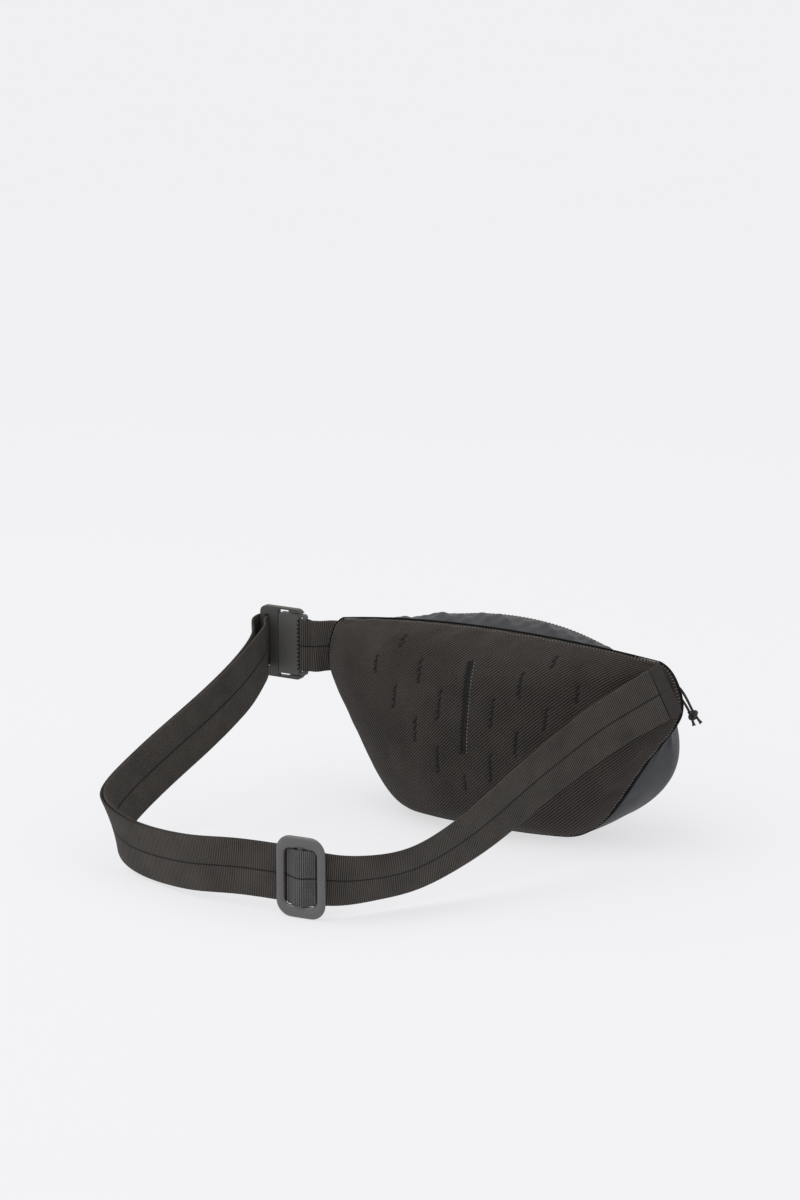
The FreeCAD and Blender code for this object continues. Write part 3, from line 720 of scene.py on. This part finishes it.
def lathe(name, start, direction, profile):
    """Turned shape along a direction: profile is (distance, radius) pairs."""
    axis = unit(direction)
    side = unit(np.cross(axis, (0.3, 1.0, 0.2)))
    other = np.cross(axis, side)
    count = 16
    turn = full_turn(count)
    fray = 1 + 0.12 * np.sin(5 * turn)
    rings = []
    for distance, radius in profile:
        ring = np.cos(turn)[:, None] * side + np.sin(turn)[:, None] * other
        rings.append(start + axis * distance + ring * (radius * fray)[:, None])
    n = len(rings)
    faces = grid_faces(n, count, wrap=True).tolist()
    faces.append(list(range(count))[::-1])
    faces.append(list(range((n - 1) * count, n * count)))
    return make_object(name, np.concatenate(rings), faces)


cord = spline_object("pull_cord_line", CORD_ROUTE, CORD_RADIUS)
dress(cord, "cord", "zip_pull", replaces=["pull_cord"])

knot_turn = full_turn(30)
knot_points = KNOT_CENTRE + np.stack([
    0.98 * (np.sin(knot_turn) + 2 * np.sin(2 * knot_turn)),
    -1.7 * np.sin(3 * knot_turn),
    0.92 * (np.cos(knot_turn) - 2 * np.cos(2 * knot_turn)),
], -1)
knot = spline_object("pull_cord_knot_turns", knot_points.tolist(), 1.35, True)
dress(knot, "cord", "zip_pull", replaces=["pull_cord_knot"])

TAIL = [(-1.6, 0.95), (-0.7, 1.0), (-0.1, 1.2), (0.25, 1.35), (0.4, 1.1)]
for label, end, before in (("a", CORD_ROUTE[0], CORD_ROUTE[1]),
                           ("b", CORD_ROUTE[-1], CORD_ROUTE[-2])):
    away = np.subtract(end, before)
    tail = lathe("pull_cord_tail_" + label, np.array(end, float), away, TAIL)
    dress(tail, "cord", "zip_pull")


# ---- back panel
PANEL_COLUMNS, PANEL_ROWS = 321, 225
SIM_COLUMNS, SIM_ROWS = 97, 65

puff_u = spaced(SIM_COLUMNS)
puff_v = 0.5 + spaced(SIM_ROWS) / 2
coarse = panel_surface(puff_u, puff_v)
puff = inflated(coarse, False, start=2.5, shrink=0.01, out=1.0, back=3.0)
panel = panel_surface(spaced(PANEL_COLUMNS), 0.5 + spaced(PANEL_ROWS) / 2)
panel = panel + enlarged(puff, PANEL_COLUMNS, PANEL_ROWS)
panel_normals = grid_normals(panel)
run = lengths(panel, 1)
below = run[:, -1:] - run
run_across = lengths(panel, 0)
middle_column = run_across[PANEL_COLUMNS // 2]
panel_uv = np.stack([run_across - middle_column, -below], -1)

VENT_WIDTH, CENTRE_VENT_WIDTH = 1.7, 2.2
VENT_END_SOFTNESS = 0.8
VENT_DEPTH = 0.75
RIM_DEPTH, RIM_WIDTH = 0.5, 1.6
groove = np.zeros(panel.shape[:2])
for place, top, bottom in VENTS:
    wide = CENTRE_VENT_WIDTH if (place, top, bottom) == CENTRE_VENT else VENT_WIDTH
    edge = (1 / (1 + np.exp(-(below - top) / VENT_END_SOFTNESS))
            / (1 + np.exp((below - bottom) / VENT_END_SOFTNESS)))
    groove = np.maximum(groove, edge * np.exp(-((panel[..., 0] - place) / wide) ** 2))
rim_dip = np.exp(-(below / RIM_WIDTH) ** 2)
panel = panel - panel_normals * (VENT_DEPTH * groove + RIM_DEPTH * rim_dip)[..., None]

back_panel = slab("back_panel_cover", panel, inward(panel, PANEL_SKIN), panel_uv)
dress(back_panel, "panel_knit", replaces=["back_panel_fabric"])


def trimmed(surface, trim, columns, rows, depths, name, finish, node, flip=False,
            moved=None):
    """Inner layer of a wall, a little smaller than the outer one and moved with it."""
    u = np.linspace(-1, 1, columns) * (1 - trim)
    v = 0.5 + np.linspace(-0.5, 0.5, rows) * (1 - 2 * trim)
    p = surface(u, v)
    if moved:
        p = p + read_between(*moved, u, v)
    obj = slab(name, inward(p, depths[0]), inward(p, depths[1]), unrolled(p), flip)
    return dress(obj, finish, replaces=[node])


puffed = (puff, puff_u, puff_v)
foam = trimmed(panel_surface, 0.1, 129, 89, FOAM_DEPTHS, "back_panel_pad", "foam",
               "back_panel_foam", moved=puffed)
panel_lining = trimmed(panel_surface, 0.1, 65, 45, PANEL_LINING_DEPTHS,
                       "back_panel_inner", "lining", "back_panel_lining", moved=puffed)


def on_panel(x, down):
    """Point, normal and two tangents of the panel at a place below the top seam."""
    gap = (panel[..., 0] - x) ** 2 + (below - down) ** 2
    i, j = np.unravel_index(np.argmin(gap), gap.shape)
    i = min(max(i, 1), panel.shape[0] - 2)
    j = min(max(j, 1), panel.shape[1] - 2)
    right = unit(panel[i + 1, j] - panel[i - 1, j])
    up = unit(panel[i, j + 1] - panel[i, j - 1])
    point = panel[i, j] + right * (x - panel[i, j, 0]) + up * (below[i, j] - down)
    return point, panel_normals[i, j], right, up


def capsules(name, items):
    """Small rounded rods: centre, direction, normal, length, width, height."""
    sides = 8
    share = np.array([-0.5, -0.46, -0.36, 0.0, 0.36, 0.46, 0.5])
    swell = np.array([0.05, 0.5, 0.85, 1.0, 0.85, 0.5, 0.05])
    turn = full_turn(sides)
    points = []
    faces = []
    for centre, direction, normal, length, width, height in items:
        along = unit(direction)
        side = unit(np.cross(normal, along))
        ring = (np.cos(turn)[None, :, None] * side * width / 2
                + np.sin(turn)[None, :, None] * unit(normal) * height / 2)
        rod = centre + (share * length)[:, None, None] * along + ring * swell[:, None, None]
        faces.append(grid_faces(len(share), sides, len(points) * len(share) * sides,
                                wrap=True))
        points.append(rod.reshape(-1, 3))
    return make_object(name, np.concatenate(points), np.concatenate(faces), sharp=80)


# The vent holes are near black rods laid on the panel: painted shade in the holes.
hole_shade_rods = []
edging = []
for vent in VENTS:
    place, top, bottom = vent
    is_centre = vent == CENTRE_VENT
    count = int((bottom - top) / 2.5)
    for k in range(count):
        down = top + (bottom - top) * (k + 0.5) / count
        columns = (-1.3, 1.3) if is_centre else (0.5 * (-1) ** k,)
        for shift in columns:
            p, n, right, up = on_panel(place + shift, down)
            lean = unit(right * 0.7 + up * 0.72)
            hole_shade_rods.append((p + n * 0.25, lean, n, 3.6, 1.7, 0.8))
        if is_centre:
            p, n, right, up = on_panel(place + 3.2, down)
            edging.append((p + n * 0.12, up, n, 1.2, 0.8, 0.5))
dress(capsules("panel_vent_hole_shade", hole_shade_rods), "vent")
dress(capsules("panel_vent_edging", edging), "thread")


def along_line(points, pitch):
    """Evenly spaced points and tangents on a polyline."""
    run_length = lengths(points[None], 1)[0]
    count = max(2, int(run_length[-1] / pitch))
    at = (np.arange(count) + 0.5) * run_length[-1] / count
    spots, ahead, back = (
        np.stack([np.interp(at + step, run_length, points[:, k]) for k in range(3)], -1)
        for step in (0.0, 0.2, -0.2))
    return spots, unit(ahead - back)


def seam_stitches(name, points, normals, pitch, length, across):
    """Stitches on a line; across turns them square to it."""
    spots, tangents = along_line(points, pitch)
    items = []
    for spot, tangent in zip(spots, tangents):
        near = np.argmin(((points - spot) ** 2).sum(-1))
        normal = normals[near]
        direction = np.cross(normal, tangent) if across else tangent
        items.append((spot + normal * 0.15, direction, normal, length, 0.55, 0.5))
    return dress(capsules(name, items), "thread")


# The overlock's line runs round the panel, this many grid steps inside its edge.
INSET = 9
sides = [(slice(INSET, -INSET), -1 - INSET), (-1 - INSET, slice(-1 - INSET, INSET, -1)),
         (slice(-1 - INSET, INSET, -1), INSET), (INSET, slice(INSET, -INSET))]
seam_stitches("panel_overlock_stitches", np.concatenate([panel[s] for s in sides]),
              np.concatenate([panel_normals[s] for s in sides]), 2.3, 2.2, True)


# ---- shell
SHELL_COLUMNS, SHELL_ROWS = 241, 121
u_coarse = np.linspace(-1, 1, 97)
w_coarse = np.linspace(0.02, 1, 41)
shell_coarse = shell_surface(u_coarse, w_coarse)
billow = inflated(shell_coarse, True, start=1.5, shrink=0.03, out=0.4, back=2.5)
shell = shell_surface(np.linspace(-1, 1, SHELL_COLUMNS), np.linspace(0.02, 1, SHELL_ROWS))
shell = shell + enlarged(billow, SHELL_COLUMNS, SHELL_ROWS)
shell[..., 2] = np.maximum(shell[..., 2], FLOOR_GAP)
front_shell = slab("front_shell_cover", shell, inward(shell, SHELL_SKIN), unrolled(shell),
                   True)
dress(front_shell, "shell_nylon", replaces=["front_shell"])
shell_lining = trimmed(shell_surface, 0.03, 97, 61, LINING_DEPTHS, "front_shell_inner",
                       "lining", "front_shell_lining", True, (billow, u_coarse, w_coarse))

TOP_COLUMNS, TOP_ROWS = 161, 33
top = top_surface(np.linspace(-1, 1, TOP_COLUMNS), np.linspace(0.02, 1, TOP_ROWS))
across_top = np.linspace(-1, 1, TOP_COLUMNS)[:, None]
down_top = np.linspace(0, 1, TOP_ROWS)[None, :]
slanted = across_top * 9.0 + down_top * 2.2
pucker = (0.9 * np.sin(slanted * 2.1) + 0.6 * np.sin(slanted * 5.3 + 1.0)
          + 0.35 * np.sin(across_top * 61.0 - down_top * 3.0))
top[..., 2] += pucker * np.sin(math.pi * down_top) * (1 - across_top ** 4)
top_panel = slab("top_panel_cover", top, inward(top, SHELL_SKIN), unrolled(top))
# The top panel gets the darker nylon: painted shade on the surface that faces up.
dress(top_panel, "top_nylon", replaces=["top_panel"])
top_lining = trimmed(top_surface, 0.05, 65, 13, LINING_DEPTHS, "top_panel_inner", "lining",
                     "top_panel_lining")

for label, side in (("right", 1.0), ("left", -1.0)):
    tab = tab_surface(side, np.linspace(0.06, 0.88, 31), np.linspace(0.03, 0.97, 31))
    obj = slab("end_tab_" + label + "_cover", tab, inward(tab, SHELL_SKIN), unrolled(tab),
               side < 0)
    dress(obj, "shell_nylon", replaces=["end_tab_" + label])
    seam_stitches("end_tab_" + label + "_stitches", tab[4],
                  grid_normals(tab, side < 0)[4], 3.0, 2.0, False)


def piping(name, points, radius):
    """Round line through points, with its frame carried along without twist."""
    sides = 8
    tangents = unit(np.gradient(points, axis=0))
    side = unit(np.cross(tangents[0], (0.2, 0.3, 1.0)))
    turn = full_turn(sides)
    rings = []
    for point, tangent in zip(points, tangents):
        side = unit(side - tangent * np.dot(side, tangent))
        other = np.cross(tangent, side)
        rings.append(point + radius * (np.cos(turn)[:, None] * side
                                       + np.sin(turn)[:, None] * other))
    rings = np.array(rings)
    run_length = lengths(points[None], 1)[0]
    uv = np.stack(np.meshgrid(run_length, turn * radius, indexing="ij"), -1)
    obj = make_object(name, rings, grid_faces(len(rings), sides, wrap=True), uv, 80)
    return dress(obj, "piping")


# Both pipings wear the near black finish: real piping, and painted shade along the seam's gap.
seam_run = np.linspace(-SEAM_END, SEAM_END, 261)
low_line = seam(seam_run, side_of(seam_run))
low_line[:, 2] = np.maximum(low_line[:, 2], 1.0)
piping("seam_piping_lower", low_line, PIPING_RADIUS)
high_line = top_seam(np.linspace(-1, 1, 141)) + (0, 0.6, 0.2)
piping("seam_piping_upper", high_line, TOP_PIPING_RADIUS)

binding_run = np.linspace(-1, 1, 161)
outer_line = seam(0.98 * np.abs(binding_run), side_of(binding_run))
deep, deeper = [inward(outer_line, depth) for depth in BINDING_DEPTHS]
strip = np.stack([deep, mix(deep, deeper, 0.5), deeper], 1)
strip_normal = grid_normals(strip)
dress(slab("seam_binding_tape", strip + strip_normal * 0.35, strip - strip_normal * 0.35,
           unrolled(strip)), "binding", replaces=["seam_binding"])

# ---- zipper
arc = np.linspace(-ZIP_HALF_ANGLE - 0.2, ZIP_HALF_ANGLE + 0.2, 201)
for label, side in (("front", -1.0), ("back", 1.0)):
    across = np.linspace(TAPE_INNER, TAPE_OUTER, 9) * side
    angle, offset = np.meshgrid(arc, across, indexing="ij")
    share = (np.abs(offset) - TAPE_INNER) / (TAPE_OUTER - TAPE_INNER)
    bow = 0.35 * np.sin(math.pi * share) - 0.1
    upper = zip_point(angle, 0.35 + bow * 0.3, offset)
    lower = zip_point(angle, -0.35, offset)
    uv = np.stack([np.radians(angle) * ZIP_RADIUS, offset], -1)
    tape = slab("zipper_tape_" + label + "_woven", upper, lower, uv, side < 0)
    dress(tape, "zipper_tape", replaces=["zipper_tape_" + label])
    count = int(2 * math.radians(COIL_HALF_ANGLE) * ZIP_RADIUS / TOOTH_PITCH)
    bend = np.linspace(-math.pi / 2, math.pi / 2, WIRE_BENDS)
    ring = full_turn(WIRE_SIDES)
    reach = 2.2 - 1.1 * np.cos(bend)
    lift = 0.62 * np.sin(bend)
    radial = np.cos(ring)[None, :] * WIRE_RADIUS
    offset = (reach[:, None] - radial * np.cos(bend)[:, None]) * side
    height = lift[:, None] + radial * np.sin(bend)[:, None]
    points = []
    faces = []
    shift = 0.5 if side > 0 else 0.0
    for k in range(count - 1):
        middle = math.degrees((k + 0.5 + shift - count / 2) * TOOTH_PITCH / ZIP_RADIUS)
        turned = middle + np.degrees(np.sin(ring)[None, :] * WIRE_RADIUS / ZIP_RADIUS)
        faces.append(grid_faces(WIRE_BENDS, WIRE_SIDES,
                                len(points) * WIRE_BENDS * WIRE_SIDES, wrap=True))
        points.append(zip_point(np.broadcast_to(turned, offset.shape), height,
                                offset).reshape(-1, 3))
    coil = make_object("zipper_coil_" + label + "_teeth", np.concatenate(points),
                       np.concatenate(faces), sharp=80)
    dress(coil, "zipper_coil", replaces=["zipper_coil_" + label])
    for row, inset in (("inner", 10.2), ("outer", 11.4)):
        line = zip_point(arc, 0.5, side * inset)
        seam_stitches("zipper_" + label + "_" + row + "_stitches", line,
                      zip_frame(arc)[0], 3.0, 2.1, False)


# ---- belt
def sampled(route, step):
    """Running length, centres, width directions and normals at even steps of a route."""
    centres = np.array([c for c, _ in route], float)
    widths = unit(np.array([w for _, w in route], float))
    run_length = lengths(centres[None], 1)[0]
    path = curve_through(run_length, centres)
    edge = curve_through(run_length, centres + widths * 2 * WEB_HALF)
    total = run_length[-1]
    s = np.linspace(0, total, max(3, int(round(total / step)) + 1))
    centre = path(s)
    tangent = unit(path(s + 0.05) - path(s - 0.05))
    width = edge(s) - centre
    width = unit(width - tangent * (width * tangent).sum(-1, keepdims=True))
    return s, centre, width, unit(np.cross(width, tangent))


def strap(name, route, step=0.45, thick=WEB_THICK, half=WEB_HALF, groove_depth=0.22,
          lift=0.0):
    """Webbing along a route, with rolled edges, a centre groove and toothed sides."""
    s, centre, width, normal = sampled(route, step)
    share = np.array([-1, -0.985, -0.93, -0.5, -0.07, -0.035, 0, 0.035, 0.07, 0.5, 0.93,
                      0.985, 1])
    rise = np.array([0.25, 0.75, 1, 1, 1, 0.95, 0.8, 0.95, 1, 1, 1, 0.75, 0.25])
    dip = groove_depth * np.exp(-(share / 0.03) ** 2)
    up = rise * thick / 2 - dip * (np.abs(share) < 0.05)
    across = np.concatenate([share, share[::-1]])
    level = np.concatenate([up, -up[::-1]]) + lift
    teeth = 1 - 0.011 * np.abs(np.sin(math.pi * s / RIB_PITCH))
    offset = half * across[None, :] * np.where(np.abs(across)[None, :] > 0.9,
                                               teeth[:, None], 1.0)
    points = (centre[:, None] + width[:, None] * offset[..., None]
              + normal[:, None] * level[None, :, None])
    count = len(across)
    uv = np.stack([np.broadcast_to(s[:, None], offset.shape), offset], -1)
    faces = grid_faces(len(s), count, wrap=True, flip=True)
    obj = make_object(name, points, faces, uv, 55)
    with edited(obj.data) as edit:
        open_edges = [e for e in edit.edges if e.is_boundary]
        bmesh.ops.holes_fill(edit, edges=open_edges, sides=0)
        bmesh.ops.recalc_face_normals(edit, faces=edit.faces)
    obj.data.set_sharp_from_angle(angle=math.radians(55))
    return obj


def hook_turn():
    """Stations round the back of the hook's outer bar, without the two ends."""
    centre = BUCKLE_CENTRE + (HOOK_BAR_X, 0, 0)
    turn = math.pi - math.pi * np.arange(0, 9) / 8
    return [(tuple(centre + HOOK_TURN_RADIUS * np.array((math.cos(a), math.sin(a), 0))),
             (0, 0, 1)) for a in turn]


# The second layer's end is hidden behind the adjuster, so it starts a little before
# the station where it starts in the solids.
_, inner_centre, inner_width, inner_normal = sampled(
    BELT_ROUTE[RETURN_FIRST - 1:RETURN_LAST], 12.0)
inner_route = [(tuple(c - n * LAYER_SHIFT), tuple(w))
               for c, w, n in zip(inner_centre[1:], inner_width[1:], inner_normal[1:])]
inner_route += RETURN_END
whole_route = BELT_ROUTE + hook_turn() + inner_route[::-1]
belt = strap("belt_webbing", whole_route)
dress(belt, "webbing", replaces=["webbing_main", "webbing_hook_turn", "webbing_return"])
anchor = strap("belt_anchor_end", ANCHOR_END, 0.45, 2.2, groove_depth=0.05, lift=0.25)
dress(anchor, "webbing_end", replaces=["webbing_anchor_end"])

_, centre, width, normal = sampled(BELT_ROUTE, 2.0)
anchor_items = []
for row in (1, 3):
    for share in np.linspace(-0.9, 0.9, 14):
        p = centre[row] + width[row] * share * WEB_HALF + normal[row] * (WEB_THICK / 2 + 0.05)
        anchor_items.append((p, width[row], normal[row], 1.8, 0.55, 0.5))
dress(capsules("belt_anchor_stitches", anchor_items), "dark_thread")

# ---- adjuster
along_belt = unit(ADJUSTER_TRAVEL)
outward = unit(np.cross((0, 0, 1), along_belt))


def adjuster_point(x, y, z):
    x, y, z = spread_out(x, y, z)
    return (ADJUSTER_CENTRE + x[..., None] * along_belt + y[..., None] * outward
            + z[..., None] * np.array((0, 0, 1.0)))


def rounded_loop(width, height, radius):
    """Closed rounded rectangle with the same number of points in each corner."""
    points = []
    for quarter in range(4):
        cx = (width / 2 - radius) * (1 if quarter in (0, 3) else -1)
        cz = (height / 2 - radius) * (1 if quarter in (0, 1) else -1)
        for a in np.linspace(0, math.pi / 2, 12):
            a = a + quarter * math.pi / 2
            points.append((cx + radius * math.cos(a), cz + radius * math.sin(a)))
    return np.array(points)


outer_loop = rounded_loop(*RING_SIZE, RING_CORNER)
inner_loop = rounded_loop(*RING_OPENING, RING_OPENING_CORNER)
# Section of the ring: share of the way inward, height above its base.
section = [(0.0, 1.1), (0.02, 1.8), (0.11, 2.6), (0.28, 3.15), (0.5, 3.35), (0.72, 3.15),
           (0.89, 2.6), (0.98, 1.8), (1.0, 1.1), (0.92, 0.3), (0.5, 0.0), (0.08, 0.3)]
ring_base = WEB_THICK / 2 + RING_GAP
ring_points = []
for share, height in section:
    loop = mix(outer_loop, inner_loop, share)
    ring_points.append(adjuster_point(loop[:, 0], ring_base + height, loop[:, 1]))
ring_points = np.array(ring_points + ring_points[:1])
ring_obj = make_object("adjuster_ring", ring_points,
                       grid_faces(len(section) + 1, len(outer_loop), wrap=True), sharp=70)
with edited(ring_obj.data) as edit:
    bmesh.ops.remove_doubles(edit, verts=edit.verts, dist=1e-6)
    bmesh.ops.recalc_face_normals(edit, faces=edit.faces)
ring_smooth = ring_obj.modifiers.new("smooth", "SUBSURF")
ring_smooth.levels = 2
ring_smooth.render_levels = 2
dress(ring_obj, "adjuster_plastic", "adjuster", replaces=["adjuster_frame"])

bar_heights = np.linspace(-BAR_HALF, BAR_HALF, 40)
bar_turn = full_turn(16)
bar = adjuster_point(BAR_RADII[0] * np.cos(bar_turn)[None, :],
                     ring_base + 1.5 + BAR_RADII[1] * np.sin(bar_turn)[None, :],
                     bar_heights[:, None])
dress(make_object("adjuster_bar", bar, grid_faces(40, 16, wrap=True), sharp=80),
      "adjuster_plastic", "adjuster")

hump_route = []
for i in range(13):
    place = FOLD_HALF * (i / 6 - 1)
    lift = FOLD_LIFT + FOLD_HEIGHT * math.cos(math.pi * place / (2 * FOLD_HALF)) ** 2
    hump_route.append((tuple(adjuster_point(place, lift, 0)), (0, 0, 1)))
# The fold's webbing is painted lighter than the belt: painted highlight on the bend.
hump = strap("adjuster_webbing_fold", hump_route, 0.25, half=RING_OPENING[1] / 2,
             groove_depth=0.3)
dress(hump, "webbing_hump", "adjuster", ["adjuster_webbing"])


# ---- buckle
def bevelled(node, name, width):
    """Copy of a CAD piece with its edges eased."""
    mesh = nodes[node].data.copy()
    mesh.name = name
    with edited(mesh) as edit:
        bmesh.ops.remove_doubles(edit, verts=edit.verts, dist=2e-6)
        bmesh.ops.dissolve_limit(edit, angle_limit=math.radians(2), verts=edit.verts,
                                 edges=edit.edges)
    obj = added(name, mesh)
    ease = obj.modifiers.new("ease", "BEVEL")
    ease.width = width * MM
    ease.segments = 3
    ease.limit_method = "ANGLE"
    ease.angle_limit = math.radians(35)
    ease.use_clamp_overlap = True
    mesh.shade_smooth()
    mesh.set_sharp_from_angle(angle=math.radians(35))
    return obj


for node, name, width, finish, body in (
        ("hook_frame", "hook_frame_moulding", 0.9, "buckle_plastic", "bag"),
        ("buckle_plate", "buckle_plate_moulding", 0.6, "plate_plastic",
         "buckle_plate_unit"),
        ("hook_magnet", "hook_magnet_block", 0.3, "magnet", "bag"),
        ("plate_magnet", "plate_magnet_block", 0.3, "magnet", "buckle_plate_unit"),
        ("slider_body", "slider_casting", 0.3, "zipper_metal", "zip_slider"),
        ("zipper_end_stops", "zipper_stops_crimped", 0.2, "zipper_metal", "bag")):
    dress(bevelled(node, name, width), finish, body, replaces=[node])

puller = nodes["puller_loop"]
puller.data.materials.clear()
puller.data.materials.append(FINISHES["zipper_metal"])
puller.data.shade_smooth()


def buckle_place(x, y, z=0.0):
    return tuple(BUCKLE_CENTRE + (x, y, z))


short_route = [((-126.0, 0.5, 111.6), (0.10, -0.04, 0.99)),
               ((-135.0, -0.4, 111.4), (0.10, -0.04, 0.99)),
               ((-142.0, -1.6, 111.2), (0.10, -0.04, 0.99)),
               ((-148.5, -4.4, 110.5), (0.06, -0.02, 1)),
               ((-152.5, -5.4, 110.1), (0, 0, 1)),
               (buckle_place(16.0, 1.2), (0, 0, 1))]
leg = [(14.6, 1.95), (13.1, 2.8)]
turn = [(11.2 + 3.2 * math.cos(math.radians(a)), 3.2 * math.sin(math.radians(a)))
        for a in range(90, 271, 30)]
back_leg = [(13.1, -2.8), (14.6, -1.95), (16.0, -1.2)]
short_route += [(buckle_place(x, y), (0, 0, 1)) for x, y in leg + turn + back_leg]
short_route += [((-152.5, -7.9, 110.1), (0, 0, 1)),
                ((-148.5, -6.6, 110.5), (0.06, -0.02, 1)),
                ((-142.0, -3.9, 111.2), (0.10, -0.04, 0.99)),
                ((-135.0, -2.7, 111.4), (0.10, -0.04, 0.99)),
                ((-126.0, -1.8, 111.6), (0.10, -0.04, 0.99))]
short_strap = strap("short_strap", short_route)
dress(short_strap, "webbing",
      replaces=["short_webbing", "short_webbing_loop"], ride=False)
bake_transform(short_strap)

# Near black rods along the plate's edge: painted shade in its grip notches.
notch_shade_rods = [(np.array(buckle_place(6.5, -2.5, z)), (1, 0, 0.15), (0, -1, 0), 1.9, 1.5, 0.5)
         for z in np.linspace(-18, 18, 13)]
dress(capsules("buckle_plate_grip_shade", notch_shade_rods), "vent", "buckle_plate_unit")

# ---- floor and lights
FLOOR_HALF = 60
FLOOR_GLOW = 0.655
SKY_STRENGTH = 0.80
SUN_STRENGTH = 0.85
SOFT_PANEL_SIZE = 1.1
SOFT_PANEL_POWER = 5.0
floor_mesh = bpy.data.meshes.new("floor")
floor_corners = np.array([(-1, -1, 0), (1, -1, 0), (1, 1, 0), (-1, 1, 0)]) * FLOOR_HALF
floor_mesh.from_pydata(floor_corners.tolist(), [], [(0, 1, 2, 3)])
floor = added("floor", floor_mesh)
paper = Finish("floor_paper", (0.218, 0.218, 0.223), (0.222, 0.222, 0.227), 1.0, 0.0, 0.0, 0.0)
paper.shader.inputs["Emission Color"].default_value = (0.984, 0.984, 1.0, 1)
paper.shader.inputs["Emission Strength"].default_value = FLOOR_GLOW
floor_mesh.materials.append(paper.close(paper.noise(3.0), 0.01, None, 0.0, 0.0))

world = bpy.data.worlds.new("studio")
world.use_nodes = True
sky = world.node_tree.nodes["Background"]
sky.inputs[0].default_value = (1, 1, 1, 1)
sky.inputs[1].default_value = SKY_STRENGTH
scene.world = world
sun_data = bpy.data.lights.new("soft_light", "SUN")
sun_data.energy = SUN_STRENGTH
sun_data.angle = math.radians(60)
sun = added("soft_light", sun_data)
sun.rotation_euler = (math.radians(28), math.radians(-18), 0)
panel_data = bpy.data.lights.new("soft_panel", "AREA")
panel_data.size = SOFT_PANEL_SIZE
panel_data.energy = SOFT_PANEL_POWER
panel_light = added("soft_panel", panel_data)
panel_light.location = (-0.55, -0.35, 1.7)
panel_light.rotation_euler = (math.radians(-8), math.radians(-18), 0)
scene.view_settings.view_transform = "Standard"
